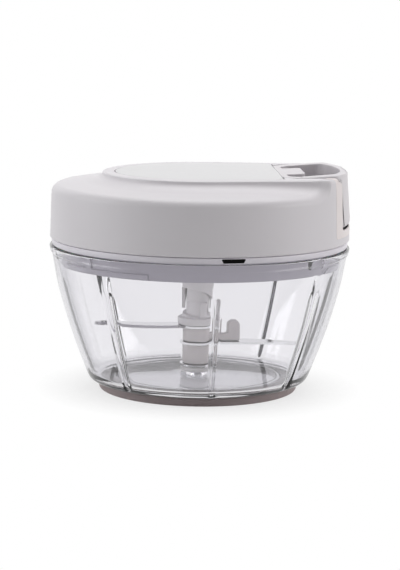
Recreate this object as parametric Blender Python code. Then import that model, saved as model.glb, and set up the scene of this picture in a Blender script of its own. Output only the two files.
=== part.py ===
"""Pull-cord food chopper: clear fluted bowl, blade tower, and a lid with a loop handle and a cord drive.

Units are metres, +Z is up, and the origin is the centre of the foot ring's face on the table.
The handle points along +X. The lid stands closed and turned to its unlocked mark.
"""
import bpy
import bmesh
import math
from mathutils import Matrix, Vector

mm = 0.001
deg = math.pi / 180

# Clearances
SEAT_GAP = 0.3 * mm          # between faces that rest on each other
RUN_GAP = 0.4 * mm           # between faces that slide or turn

# Bowl
RIM_RADIUS = 67.6 * mm       # outer wall at the rim
RIM_HEIGHT = 66.0 * mm       # top of the rim above the table
RIM_FLARE = 0.12             # outward lean of the wall at the rim
HEEL_REACH = 4.5 * mm        # from the flat base out to the top of the rounded heel
HEEL_RISE = 3.2 * mm         # height of the heel above the bowl's base
HEEL_FLARE = 0.40            # outward lean of the wall above the heel
BASE_RADIUS = 46.5 * mm      # flat underside
BOWL_WALL = 2.2 * mm
BOWL_FLOOR = 2.4 * mm
BEAD_PROUD = 0.6 * mm
BEAD_HEIGHT = 3.2 * mm
FLUTE_COUNT = 8
FLUTE_PHASE = 4 * deg
FLUTE_HALF_ANGLE = 2.4 * deg
FLUTE_DROP = 14.5 * mm       # of a flute's top below the rim
FLUTE_FADE = 5.0 * mm
FLUTE_DEPTH = 0.9 * mm       # groove in the outer face
RIDGE_HEIGHT = 1.5 * mm      # ridge on the inner face
LUG_ANGLES = (-41.8 * deg, -167.7 * deg, 78.2 * deg)
LUG_WIDTH = 9.3 * mm
LUG_HEIGHT = 4.0 * mm
LUG_REACH = 1.0 * mm         # how far a lug overlaps the ledge that it holds
LOCATING_RING = 2.3 * mm     # thickness of the ring that the foot fits round
LOCATING_DEPTH = 2.8 * mm

# Foot ring
FOOT_INSET = 1.2 * mm        # from the edge of the bowl's flat base
FOOT_HEIGHT = 3.7 * mm
FOOT_WIDTH = 6.7 * mm

# Pin and blade tower
PIN_RADIUS = 2.5 * mm
PIN_TOP = 27.2 * mm
PIN_BOSS_RADIUS = 5.5 * mm
PIN_BOSS_HEIGHT = 1.4 * mm
PIN_SOCKET_FLOOR = 1.4 * mm
CORE_WALL = 2.3 * mm
SPACER_WALL = 1.7 * mm
TOWER_FOOT_PROUD = 0.8 * mm  # past the spacers
TOWER_FOOT_HEIGHT = 2.0 * mm
LOWER_SPACER_LENGTH = 8.6 * mm
UPPER_SPACER_LENGTH = 6.0 * mm
COLLAR_PROUD = 4.3 * mm      # past the core
COLLAR_HEIGHT = 3.4 * mm
DOG_WALL = 1.9 * mm
DOG_HEIGHT = 7.2 * mm
DOG_START = -89 * deg
DOG_SPAN = 38 * deg
DOG_RAMP = 2.5 * mm
SPIGOT_PROUD = 0.3 * mm      # past the core
SPIGOT_LENGTH = 21.0 * mm    # above the collar
CARRIER_REACH = 19.0 * mm
CARRIER_WIDTH = 5.0 * mm
CARRIER_THICKNESS = 3.0 * mm
FINGER_WIDTH = 5.5 * mm
FINGER_HEIGHT = 9.0 * mm

# Blades
BLADE_THICKNESS = 1.0 * mm
BLADE_EYE_WALL = 2.9 * mm
BLADE_TIP_GAP = 6.3 * mm     # from the tips to the bowl's wall
BLADE_SWEEP = 9.0 * mm
BLADE_BEVEL = 2.2 * mm
TOP_BLADE_ANGLE = 183 * deg
MIDDLE_BLADE_ANGLE = 3 * deg
BOTTOM_BLADE_ANGLE = 93 * deg

# Lid base
SKIRT_CLEARANCE = 2.5 * mm   # between the skirt and the inside of the rim
SKIRT_WALL = 2.0 * mm
SKIRT_DEPTH = 8.0 * mm       # below the rim
PLATE_DEPTH = 3.0 * mm       # of the base plate's underside below the rim
PLATE_THICKNESS = 2.0 * mm
FLANGE_INSET = 0.4 * mm      # from the bowl's outer wall
FLANGE_LIP = 0.7 * mm
FLANGE_RISE = 3.0 * mm       # above the rim
GASKET_WIDTH = 2.0 * mm
GASKET_HEIGHT = 1.6 * mm
LOCATING_RIB_HEIGHT = 1.6 * mm
LOCATING_RIB_WIDTH = 1.2 * mm
LEDGE_START = -34.6 * deg
LEDGE_SPAN = 47.6 * deg
LEDGE_RAMP = 4.7 * deg
LEDGE_HEIGHT = 2.7 * mm
LEDGE_LEAD = 1.7 * mm        # drop of the ramp's leading end
LOCK_ANGLE = 20 * deg
STOP_SPAN = 3 * deg
SLOT_ANGLE = -80.4 * deg
SLOT_WIDTH = 10.9 * mm
SLOT_TAPER = 1.0 * mm

# Lid cover
COVER_OVERHANG = 0.8 * mm    # past the flange
COVER_WALL = 2.3 * mm
COVER_DRAFT = 0.028
SHOULDER_RISE = 22.0 * mm    # above the flange
SHOULDER_RADIUS = 3.2 * mm
CROWN_RISE = 4.4 * mm        # from the shoulder to the foot of the plateau
PLATEAU_INSET = 24.0 * mm    # from the lid's side
PLATEAU_RISE = 4.0 * mm      # at the lid's axis
PLATEAU_TAPER = 6.3 * deg      # its long sides close in by this, towards the handle
PLATEAU_SLOPE = 0.006        # rise towards the handle
CROWN_FALL = 0.07            # slope of the lid's top round the plateau
STEP_EDGE = 0.5 * mm         # the step is upright this far outside the plateau's outline
STEP_ROUND = 2.0 * mm        # rounding of its upper edge
STEP_FILLET = 4.0 * mm       # hollow at its foot
STEP_SPLIT = 0.6             # share of its height that the hollow takes
END_ROUND = 2.0 * mm         # edge of the plateau's end over the lid's side
INLAY_MARGIN = 5.3 * mm      # from the plateau's outline
INLAY_THICKNESS = 1.3 * mm
INLAY_CORNER = 7.0 * mm
ROOF_THICKNESS = 1.4 * mm    # left under the inlay
BOSS_RADIUS = 4.0 * mm
BOSS_INSET = 17.0 * mm       # from the lid's side
BOSS_ANGLES = (75 * deg, 135 * deg, -135 * deg, -75 * deg)

# Handle pocket
POCKET_DEPTH = 33.6 * mm     # from the lid's side to the pocket's end wall
POCKET_SILL = 6.9 * mm       # height of its floor above the cover's lower edge
WING_MARGIN = 12.7 * mm      # from the plateau's outline to the pocket's side at the top
WING_FLARE = 4.0 * mm        # the pocket is this much narrower low down, on each side
WING_DEPTH = 4.6 * mm        # where the flare starts, below the plateau
WING_RIM = 0.8 * mm          # where it ends
POCKET_CORNER = 9.0 * mm
POCKET_WALL = 2.0 * mm

# Handle
HANDLE_UNDERCUT = 0.8 * mm   # above the pocket's floor
FACE_PROUD = 0.1 * mm        # of its lower edge past the lid's side
FACE_LEAN = 1.6 * mm
HANDLE_RISE = 1.2 * mm
HANDLE_ROUND = 2.0 * mm
GRIP_THICKNESS = 3.6 * mm
INNER_BAR = 3.0 * mm
ARM_THICKNESS = 1.9 * mm
TONGUE_HALF = 13.0 * mm
TONGUE_REACH = 8.7 * mm      # past the inner bar
TONGUE_DEPTH = 14.0 * mm

# Cord drive
AXLE_RADIUS = 2.5 * mm
AXLE_THREAD = 1.3 * mm
AXLE_SEAT = 2.7 * mm          # how far the axle's top sits in the cover's boss
CENTRE_BOSS_RADIUS = 6.0 * mm
CORD_RADIUS = 0.8 * mm
CORD_TURNS = 2.4
CORD_PITCH = 2.2 * mm
CORD_DROP = 9.5 * mm         # below the plateau's top
CORD_LEAD = 5.4 * mm         # from its turn towards the handle to the pocket
DRUM_RADIUS = 19.6 * mm
DRUM_WALL = 1.4 * mm
DRUM_RIM = 4.4 * mm          # height of the flanges past the drum
DRUM_FLANGE_THICKNESS = 1.2 * mm
DRUM_HEIGHT = 7.4 * mm
SPRING_TURNS = 5
SPRING_THICKNESS = 0.5 * mm
SPRING_WIDTH = 6.2 * mm
HUB_FLOOR = 2.2 * mm
HUB_SHAFT_WALL = 3.2 * mm
HUB_SHAFT_DROP = 2.4 * mm    # below the base plate
SLEEVE_WALL = 1.5 * mm
SLEEVE_GAP = 2.8 * mm        # from the collar to the tips of the sleeve's ramps
SLEEVE_RAMP = 10.7 * mm
SLEEVE_RAMP_SPAN = 150 * deg
SLEEVE_RAMP_START = -153 * deg
TOOTH_COUNT = 12
TOOTH_PHASE = -2 * deg
TOOTH_DEPTH = 2.2 * mm
CUP_WALL = 2.4 * mm
PAWL_THICKNESS = 3.5 * mm
PAWL_REACH = 3.9 * mm        # from its pivot out to the teeth's tips
CUP_PROUD = 2.4 * mm         # of the hub's cup past the drum
PAWL_PIN = 1.5 * mm
PAWL_EYE = 3.0 * mm
PAWL_ANGLE = -50 * deg       # of the front pawl's pivot
BUSH_WALL = 1.5 * mm
BUSH_LENGTH = 12.3 * mm
TUBE_WALL = 2.1 * mm
SCREW_SHANK = 1.5 * mm
SCREW_HEAD = 3.0 * mm
SCREW_HEAD_HEIGHT = 1.6 * mm
SCREW_LENGTH = 13.0 * mm
FERRULE_RADIUS = 2.0 * mm
FERRULE_LENGTH = 3.8 * mm
EYELET_BORE = 1.3 * mm
EYELET_RADIUS = 2.6 * mm
EYELET_FLANGE = 3.8 * mm
EYELET_FLANGE_THICKNESS = 1.2 * mm

# Roundness of turned pieces
LARGE = 48
MEDIUM = 32
SMALL = 16

# Sizes that follow from those above: the bowl and the tower
HEEL_RADIUS = BASE_RADIUS + HEEL_REACH
FOOT_RADIUS = BASE_RADIUS - FOOT_INSET
BASE_Z = FOOT_HEIGHT + SEAT_GAP
FLOOR_Z = BASE_Z + BOWL_FLOOR
FLUTE_TOP = RIM_HEIGHT - FLUTE_DROP
CORE_RADIUS = PIN_RADIUS + RUN_GAP + CORE_WALL
COLUMN_RADIUS = CORE_RADIUS + SEAT_GAP + SPACER_WALL
TOWER_FOOT_RADIUS = COLUMN_RADIUS + TOWER_FOOT_PROUD
COLLAR_RADIUS = CORE_RADIUS + COLLAR_PROUD
SPIGOT_RADIUS = CORE_RADIUS + SPIGOT_PROUD
DOG_RADIUS = SPIGOT_RADIUS + DOG_WALL
BLADE_EYE = CORE_RADIUS + SEAT_GAP + BLADE_EYE_WALL
STACK_Z = FLOOR_Z + PIN_BOSS_HEIGHT + RUN_GAP
BOTTOM_BLADE_Z = STACK_Z + TOWER_FOOT_HEIGHT + SEAT_GAP
LOWER_SPACER_Z = BOTTOM_BLADE_Z + BLADE_THICKNESS + SEAT_GAP
MIDDLE_BLADE_Z = LOWER_SPACER_Z + LOWER_SPACER_LENGTH + SEAT_GAP
UPPER_SPACER_Z = MIDDLE_BLADE_Z + BLADE_THICKNESS + SEAT_GAP
TOP_BLADE_Z = UPPER_SPACER_Z + UPPER_SPACER_LENGTH + SEAT_GAP
COLLAR_Z = TOP_BLADE_Z + BLADE_THICKNESS + SEAT_GAP
DOG_Z = COLLAR_Z + COLLAR_HEIGHT
SPIGOT_TOP = DOG_Z + SPIGOT_LENGTH

def bowl_radius(z):
    """Outer radius of the bowl's wall: a cubic between the heel and the rim with the given leans."""
    z0 = BASE_Z + HEEL_RISE
    span = RIM_HEIGHT - z0
    t = (z - z0) / span
    return (
        (2 * t ** 3 - 3 * t ** 2 + 1) * HEEL_RADIUS
        + (t ** 3 - 2 * t ** 2 + t) * span * HEEL_FLARE
        + (3 * t ** 2 - 2 * t ** 3) * RIM_RADIUS
        + (t ** 3 - t ** 2) * span * RIM_FLARE
    )


LONG_BLADE = bowl_radius(MIDDLE_BLADE_Z) - BOWL_WALL - BLADE_TIP_GAP
SHORT_BLADE = bowl_radius(BOTTOM_BLADE_Z) - BOWL_WALL - BLADE_TIP_GAP

# The lid's outside and the handle
SKIRT_RADIUS = RIM_RADIUS - BOWL_WALL - SKIRT_CLEARANCE
SKIRT_BOTTOM = RIM_HEIGHT - SKIRT_DEPTH
PLATE_HEIGHT = RIM_HEIGHT - PLATE_DEPTH
PLATE_TOP = PLATE_HEIGHT + PLATE_THICKNESS
LEDGE_RADIUS = bowl_radius(SKIRT_BOTTOM) - BOWL_WALL - RUN_GAP
LEDGE_TOP = SKIRT_BOTTOM + LEDGE_HEIGHT
LUG_FACE = max(SKIRT_RADIUS + RUN_GAP, LEDGE_RADIUS - LUG_REACH)
LUG_LOW = LEDGE_TOP + RUN_GAP + 0.1 * mm
LUG_HALF_ANGLE = math.asin(LUG_WIDTH / 2 / LUG_FACE)
FLANGE_RADIUS = RIM_RADIUS - FLANGE_INSET
FLANGE_TOP = RIM_HEIGHT + FLANGE_RISE
GASKET_BOTTOM = RIM_HEIGHT + SEAT_GAP
COVER_RADIUS = FLANGE_RADIUS + COVER_OVERHANG
COVER_BOTTOM = FLANGE_TOP + SEAT_GAP
SHOULDER_HEIGHT = FLANGE_TOP + SHOULDER_RISE
CROWN_HEIGHT = SHOULDER_HEIGHT + CROWN_RISE
PLATEAU_TOP = CROWN_HEIGHT + PLATEAU_RISE
PLATEAU_RADIUS = COVER_RADIUS - PLATEAU_INSET
VOID_END = PLATEAU_RADIUS + 3.0 * mm     # of the space under the plateau
INLAY_RADIUS = PLATEAU_RADIUS - INLAY_MARGIN
BOSS_CIRCLE = COVER_RADIUS - BOSS_INSET
POCKET_INNER = COVER_RADIUS - POCKET_DEPTH
POCKET_FLOOR = COVER_BOTTOM + POCKET_SILL
WING_HALF = PLATEAU_RADIUS - WING_MARGIN
POCKET_HALF = WING_HALF - WING_FLARE
WING_LOW = PLATEAU_TOP - WING_DEPTH
WING_HIGH = PLATEAU_TOP - WING_RIM
HANDLE_BOTTOM = POCKET_FLOOR + HANDLE_UNDERCUT
HANDLE_FACE_LOW = COVER_RADIUS + FACE_PROUD
HANDLE_FACE_HIGH = HANDLE_FACE_LOW - FACE_LEAN
OPENING_HALF = POCKET_HALF - RUN_GAP - ARM_THICKNESS
INNER_EDGE = POCKET_INNER + RUN_GAP      # handle's inner face
FERRULE_X = INNER_EDGE + INNER_BAR + 2.0 * mm

# The cord drive
CORD_HEIGHT = PLATEAU_TOP - CORD_DROP
CORD_CORNER = POCKET_INNER - CORD_LEAD
CORD_ORBIT = DRUM_RADIUS + SEAT_GAP + CORD_RADIUS
DRUM_FLANGE = DRUM_RADIUS + DRUM_RIM
DRUM_Z = CORD_HEIGHT - CORD_TURNS * CORD_PITCH - CORD_RADIUS - SEAT_GAP - DRUM_FLANGE_THICKNESS
DRUM_FLOOR_Z = DRUM_Z + DRUM_FLANGE_THICKNESS
DRUM_TOP = DRUM_FLOOR_Z + DRUM_HEIGHT
CAP_Z = DRUM_TOP + SEAT_GAP
CAP_TOP = CAP_Z + DRUM_FLANGE_THICKNESS
HUB_TOP = DRUM_Z - RUN_GAP
PAWL_Z = DRUM_Z - RUN_GAP - PAWL_THICKNESS
HUB_FLOOR_TOP = PAWL_Z - RUN_GAP
HUB_Z = HUB_FLOOR_TOP - HUB_FLOOR
HUB_RADIUS = DRUM_RADIUS + CUP_PROUD
TOOTH_ROOT = HUB_RADIUS - CUP_WALL
TOOTH_TIP = TOOTH_ROOT - TOOTH_DEPTH
PAWL_PIVOT = TOOTH_TIP - PAWL_REACH
AXLE_BOTTOM = HUB_Z - 3.5 * mm
CENTRE_BOSS_Z = CAP_TOP + SEAT_GAP
AXLE_TOP = CENTRE_BOSS_Z + AXLE_SEAT
HUB_BORE = SPIGOT_RADIUS + 0.6 * mm
SLEEVE_RADIUS = HUB_BORE + SLEEVE_WALL
SLEEVE_EDGE_LOW = DOG_Z + SLEEVE_GAP
SLEEVE_EDGE_HIGH = SLEEVE_EDGE_LOW + SLEEVE_RAMP
HUB_SHAFT = SLEEVE_RADIUS + HUB_SHAFT_WALL
BUSH_BORE = HUB_SHAFT + SEAT_GAP
BUSH_RADIUS = BUSH_BORE + BUSH_WALL
TUBE_BORE = BUSH_RADIUS + SEAT_GAP
TUBE_RADIUS = TUBE_BORE + TUBE_WALL
TUBE_LOW = PLATE_HEIGHT - 1.0 * mm
BUSH_FLANGE_Z = HUB_Z - SEAT_GAP - 0.9 * mm


def clear_scene():
    for obj in list(bpy.data.objects):
        bpy.data.objects.remove(obj)


def material(name, colour, roughness, metallic=0.0, transmission=0.0):
    """A plain material of one node, named after the piece that wears it."""
    result = bpy.data.materials.new(name)
    result.use_nodes = True
    shader = result.node_tree.nodes["Principled BSDF"]
    shader.inputs["Base Color"].default_value = (*colour, 1.0)
    shader.inputs["Roughness"].default_value = roughness
    shader.inputs["Metallic"].default_value = metallic
    shader.inputs["Transmission Weight"].default_value = transmission
    return result


FINISHES = {
    "clear": ((0.93, 0.94, 0.95), 0.05, 0.0, 1.0),
    "pale_grey": ((0.62, 0.59, 0.60), 0.42, 0.0, 0.0),
    "inlay": ((0.78, 0.78, 0.79), 0.30, 0.0, 0.0),
    "mid_grey": ((0.45, 0.43, 0.45), 0.45, 0.0, 0.0),
    "rubber": ((0.36, 0.34, 0.36), 0.70, 0.0, 0.0),
    "silicone": ((0.85, 0.85, 0.83), 0.55, 0.0, 0.0),
    "steel": ((0.72, 0.72, 0.73), 0.22, 1.0, 0.0),
    "nylon": ((0.86, 0.84, 0.78), 0.50, 0.0, 0.0),
    "cord": ((0.80, 0.79, 0.76), 0.85, 0.0, 0.0),
    "brass": ((0.78, 0.60, 0.30), 0.30, 1.0, 0.0),
}


def add_object(name, data, finish):
    obj = bpy.data.objects.new(name, data)
    bpy.context.scene.collection.objects.link(obj)
    obj.data.materials.append(material(name, *FINISHES[finish]))
    return obj


def add_mesh(name, bm, finish="pale_grey"):
    """Turn a bmesh into an object with its faces pointing out and its round faces smooth."""
    bmesh.ops.recalc_face_normals(bm, faces=bm.faces)
    mesh = bpy.data.meshes.new(name)
    bm.to_mesh(mesh)
    bm.free()
    mesh.shade_smooth()
    mesh.set_sharp_from_angle(angle=35 * deg)
    return add_object(name, mesh, finish)


def helper(obj):
    """Mark a cutter, or a form that another piece takes in, so that it isn't a piece itself."""
    obj.hide_render = True
    obj.display_type = 'WIRE'
    return obj


def boolean(target, other, operation):
    modifier = target.modifiers.new(other.name, 'BOOLEAN')
    modifier.object = helper(other)
    modifier.operation = operation
    modifier.solver = 'EXACT'


def cut(target, other):
    boolean(target, other, 'DIFFERENCE')


def join(target, other):
    boolean(target, other, 'UNION')


def keep_inside(target, other):
    boolean(target, other, 'INTERSECT')


def loft_rings(bm, rings, closed=False):
    """Bridge a list of vertex rings of one length, and cap the two ends unless the loft closes on itself."""
    for first, second in zip(rings, rings[1:] + rings[:1] if closed else rings[1:]):
        count = len(first)
        for i in range(count):
            j = (i + 1) % count
            bm.faces.new((first[i], first[j], second[j], second[i]))
    if not closed:
        bm.faces.new(rings[0])
        bm.faces.new(rings[-1])


def loft(name, rings, finish="pale_grey", closed=False):
    bm = bmesh.new()
    loft_rings(bm, [[bm.verts.new(point) for point in ring] for ring in rings], closed)
    return add_mesh(name, bm, finish)


def revolve(name, profile, segments, finish="pale_grey"):
    """Turn a closed outline of (radius, height) points about Z. A point on the axis becomes one vertex."""
    bm = bmesh.new()
    columns = []
    poles = {i: bm.verts.new((0, 0, z)) for i, (r, z) in enumerate(profile) if r == 0}
    for k in range(segments):
        angle = 2 * math.pi * k / segments
        columns.append([
            poles.get(i) or bm.verts.new((r * math.cos(angle), r * math.sin(angle), z))
            for i, (r, z) in enumerate(profile)
        ])
    for k in range(segments):
        here = columns[k]
        there = columns[(k + 1) % segments]
        for i in range(len(profile)):
            j = (i + 1) % len(profile)
            corners = []
            for vertex in (here[i], there[i], there[j], here[j]):
                if vertex not in corners:
                    corners.append(vertex)
            if len(corners) > 2:
                bm.faces.new(corners)
    return add_mesh(name, bm, finish)


def prism(name, outline, low, high, axis='Z', finish="pale_grey"):
    """Extrude an outline along an axis: (x, y) points along Z, (y, z) along X, (x, z) along Y."""
    place = {
        'X': lambda a, b, c: (c, a, b),
        'Y': lambda a, b, c: (a, c, b),
        'Z': lambda a, b, c: (a, b, c),
    }[axis]
    return loft(name, [[place(a, b, c) for a, b in outline] for c in (low, high)], finish)


def wavy_ring(name, inner, outer, low, high, steps, finish="pale_grey"):
    """A ring whose lower and upper edges follow functions of the angle."""
    rings = []
    for angle in steps:
        c, s = math.cos(angle), math.sin(angle)
        rings.append([
            (inner * c, inner * s, low(angle)),
            (outer * c, outer * s, low(angle)),
            (outer * c, outer * s, high(angle)),
            (inner * c, inner * s, high(angle)),
        ])
    return loft(name, rings, finish, closed=True)


def arc(centre, radius, start, end, steps):
    """Points along an arc, both ends included."""
    return [
        (centre[0] + radius * math.cos(start + (end - start) * k / steps),
         centre[1] + radius * math.sin(start + (end - start) * k / steps))
        for k in range(steps + 1)
    ]


def rounded(corners, steps=4):
    """An outline from (x, y, radius) corners, each rounded with its own radius."""
    points = []
    count = len(corners)
    for i, (x, y, radius) in enumerate(corners):
        here = Vector((x, y))
        if radius == 0:
            points.append((x, y))
            continue
        before = (Vector(corners[i - 1][:2]) - here).normalized()
        after = (Vector(corners[(i + 1) % count][:2]) - here).normalized()
        half = before.angle(after) / 2
        centre = here + (before + after).normalized() * (radius / math.sin(half))
        start = here + before * (radius / math.tan(half)) - centre
        end = here + after * (radius / math.tan(half)) - centre
        turn = start.angle_signed(end)
        for k in range(steps + 1):
            spoke = start.copy()
            spoke.rotate(Matrix.Rotation(-turn * k / steps, 2))
            points.append(tuple(centre + spoke))
    return points


def turned(obj, angle, centre=(0, 0, 0)):
    """Place a piece modelled at the origin by a turn about Z and a shift."""
    obj.rotation_euler = (0, 0, angle)
    obj.location = centre
    return obj


def step_angles(count, marks=()):
    """Angles right round, evenly spread, with extra ones at the marks."""
    angles = [2 * math.pi * k / count for k in range(count)]
    full = 2 * math.pi
    angles = [a for a in angles if all(abs((a - m + math.pi) % full - math.pi) > 2 * deg for m in marks)]
    return sorted(angles + [m % full for m in marks])


def cylinder(name, radius, low, high, segments, finish="pale_grey"):
    circle = arc((0, 0), radius, 0, 2 * math.pi, segments)[:-1]
    return prism(name, circle, low, high, finish=finish)


# Bowl

def bowl_angles():
    """Angles of the bowl's columns: five across each flute and four on the plain wall between."""
    pitch = 2 * math.pi / FLUTE_COUNT
    plain = pitch - 2 * FLUTE_HALF_ANGLE
    offsets = [FLUTE_HALF_ANGLE * k / 2 for k in range(-2, 3)]
    offsets += [FLUTE_HALF_ANGLE + plain * k / 5 for k in range(1, 5)]
    return [FLUTE_PHASE + pitch * n + offset for n in range(FLUTE_COUNT) for offset in offsets]


def flute_across(angle):
    """One on a flute's centre line, falling to zero at its edges."""
    pitch = 2 * math.pi / FLUTE_COUNT
    offset = (angle - FLUTE_PHASE + pitch / 2) % pitch - pitch / 2
    if abs(offset) >= FLUTE_HALF_ANGLE:
        return 0
    return math.cos(math.pi / 2 * offset / FLUTE_HALF_ANGLE) ** 2


def flute_along(z):
    """Depth share of a flute at a height: rounded off at its top and pointed at the base."""
    top = min(1, max(0, (FLUTE_TOP - z) / FLUTE_FADE))
    foot = min(1, max(0, (z - BASE_Z) / HEEL_RISE))
    return math.sqrt(top * (2 - top)) * foot


def bowl_profile():
    """Rows of (radius, height, flute depth) from the middle of the base up, over the rim and back in."""
    heel_top = BASE_Z + HEEL_RISE
    fade_low = FLUTE_TOP - FLUTE_FADE
    bead_low = RIM_HEIGHT - BEAD_HEIGHT
    wall_heights = [heel_top + (fade_low - heel_top) * k / 4 for k in range(5)]
    wall_heights += [FLUTE_TOP - FLUTE_FADE / 2, FLUTE_TOP, bead_low]
    rows = [(BASE_RADIUS, BASE_Z, 0)]
    knee = HEEL_RADIUS - HEEL_FLARE * HEEL_RISE
    for t in (0.4, 0.75):
        radius = (1 - t) ** 2 * BASE_RADIUS + 2 * t * (1 - t) * knee + t ** 2 * HEEL_RADIUS
        rows.append((radius, BASE_Z + HEEL_RISE * t ** 2, FLUTE_DEPTH))
    rows += [(bowl_radius(z), z, FLUTE_DEPTH) for z in wall_heights]
    rows += [
        (bowl_radius(bead_low) + BEAD_PROUD, bead_low + BEAD_PROUD, 0),
        (RIM_RADIUS + BEAD_PROUD, RIM_HEIGHT - BEAD_PROUD, 0),
        (RIM_RADIUS, RIM_HEIGHT, 0),
        (RIM_RADIUS - BOWL_WALL, RIM_HEIGHT, 0),
    ]
    inner_low = FLOOR_Z + HEEL_RISE
    inner_heights = [bead_low, FLUTE_TOP, FLUTE_TOP - FLUTE_FADE / 2]
    inner_heights += [fade_low + (inner_low - fade_low) * k / 4 for k in range(5)]
    rows += [(bowl_radius(z) - BOWL_WALL, z, RIDGE_HEIGHT) for z in inner_heights]
    inner_heel = bowl_radius(inner_low) - BOWL_WALL
    rows.append((inner_heel - HEEL_RISE * 0.55, FLOOR_Z + HEEL_RISE * 0.3, RIDGE_HEIGHT))
    rows.append((inner_heel - HEEL_RISE * 1.4, FLOOR_Z, 0))
    return rows


def build_bowl():
    bm = bmesh.new()
    rows = []
    for radius, z, depth in bowl_profile():
        row = []
        for angle in bowl_angles():
            r = radius - depth * flute_across(angle) * flute_along(z)
            row.append(bm.verts.new((r * math.cos(angle), r * math.sin(angle), z)))
        rows.append(row)
    loft_rings(bm, rows)
    bowl = add_mesh("bowl", bm, "clear")

    inner = bowl_radius(RIM_HEIGHT - BEAD_HEIGHT) - BOWL_WALL
    for number, angle in enumerate(LUG_ANGLES):
        outline = rounded([
            (-LUG_WIDTH / 2, LUG_LOW, 1.9 * mm),
            (LUG_WIDTH / 2, LUG_LOW, 1.9 * mm),
            (LUG_WIDTH / 2, LUG_LOW + LUG_HEIGHT, 1.9 * mm),
            (-LUG_WIDTH / 2, LUG_LOW + LUG_HEIGHT, 1.9 * mm),
        ])
        lug = prism(f"lug_form_{number}", outline, LUG_FACE, inner + BOWL_WALL / 2, 'X')
        join(bowl, turned(lug, angle))

    ring_outer = FOOT_RADIUS - FOOT_WIDTH - SEAT_GAP
    ring = revolve("locating_ring_form", [
        (ring_outer - LOCATING_RING, BASE_Z - LOCATING_DEPTH),
        (ring_outer, BASE_Z - LOCATING_DEPTH),
        (ring_outer, BASE_Z + BOWL_FLOOR / 4),
        (ring_outer - LOCATING_RING, BASE_Z + BOWL_FLOOR / 4),
    ], LARGE)
    join(bowl, ring)
    boss = cylinder("pin_boss_form", PIN_BOSS_RADIUS, FLOOR_Z - BOWL_FLOOR / 4,
                    FLOOR_Z + PIN_BOSS_HEIGHT, SMALL)
    join(bowl, boss)
    socket = cylinder("pin_socket_form", PIN_RADIUS + SEAT_GAP, BASE_Z + PIN_SOCKET_FLOOR,
                      FLOOR_Z + PIN_BOSS_HEIGHT + 1 * mm, SMALL)
    cut(bowl, socket)
    return bowl


def build_foot():
    inner = FOOT_RADIUS - FOOT_WIDTH
    edge = 0.7 * mm
    revolve("non_slip_foot", [
        (inner, 0),
        (FOOT_RADIUS - edge, 0),
        (FOOT_RADIUS, edge),
        (FOOT_RADIUS, FOOT_HEIGHT),
        (inner, FOOT_HEIGHT),
    ], LARGE, "rubber")


def build_pin():
    low = BASE_Z + PIN_SOCKET_FLOOR + SEAT_GAP
    dome = arc((0, PIN_TOP - PIN_RADIUS), PIN_RADIUS, 0, math.pi / 2, 3)
    revolve("bowl_pin", [(0, low), (PIN_RADIUS, low)] + dome[:-1] + [(0, PIN_TOP)], SMALL, "steel")


# Blade tower

def tower_edge(angle):
    """Top edge of the coupling ring on the tower: two dogs, each behind a falling ramp."""
    along = (angle - DOG_START) % math.pi
    if along <= DOG_SPAN:
        return DOG_Z + DOG_HEIGHT
    return DOG_Z + DOG_RAMP * (math.pi - along) / (math.pi - DOG_SPAN) + 0.2 * mm


def build_tower():
    bore = PIN_RADIUS + RUN_GAP
    bore_top = PIN_TOP + RUN_GAP
    tower = revolve("blade_tower", [
        (bore, STACK_Z),
        (CORE_RADIUS, STACK_Z),
        (CORE_RADIUS, COLLAR_Z),
        (COLLAR_RADIUS - 0.4 * mm, COLLAR_Z),
        (COLLAR_RADIUS, COLLAR_Z + 0.4 * mm),
        (COLLAR_RADIUS, DOG_Z - 0.6 * mm),
        (COLLAR_RADIUS - 0.6 * mm, DOG_Z),
        (DOG_RADIUS, DOG_Z),
        (DOG_RADIUS, DOG_Z + DOG_HEIGHT),
        (SPIGOT_RADIUS, DOG_Z + DOG_HEIGHT),
        (SPIGOT_RADIUS, SPIGOT_TOP - 1 * mm),
        (SPIGOT_RADIUS - 1 * mm, SPIGOT_TOP),
        (0, SPIGOT_TOP),
        (0, bore_top),
        (bore, bore_top),
    ], MEDIUM)
    marks = []
    for side in (0, math.pi):
        for edge in (DOG_START, DOG_START + DOG_SPAN):
            marks += [edge + side - 0.3 * deg, edge + side + 0.3 * deg]
    above = DOG_Z + DOG_HEIGHT + 5 * mm
    gap = wavy_ring("dog_gap_form", SPIGOT_RADIUS + 0.2 * mm, COLLAR_RADIUS + 2 * mm,
                    tower_edge, lambda angle: above, step_angles(24, marks))
    cut(tower, gap)
    return tower


def build_tower_foot():
    inner = CORE_RADIUS + SEAT_GAP
    edge = 0.5 * mm
    revolve("tower_foot", [
        (inner, STACK_Z),
        (TOWER_FOOT_RADIUS - edge, STACK_Z),
        (TOWER_FOOT_RADIUS, STACK_Z + edge),
        (TOWER_FOOT_RADIUS, STACK_Z + TOWER_FOOT_HEIGHT),
        (inner, STACK_Z + TOWER_FOOT_HEIGHT),
    ], MEDIUM)


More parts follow.
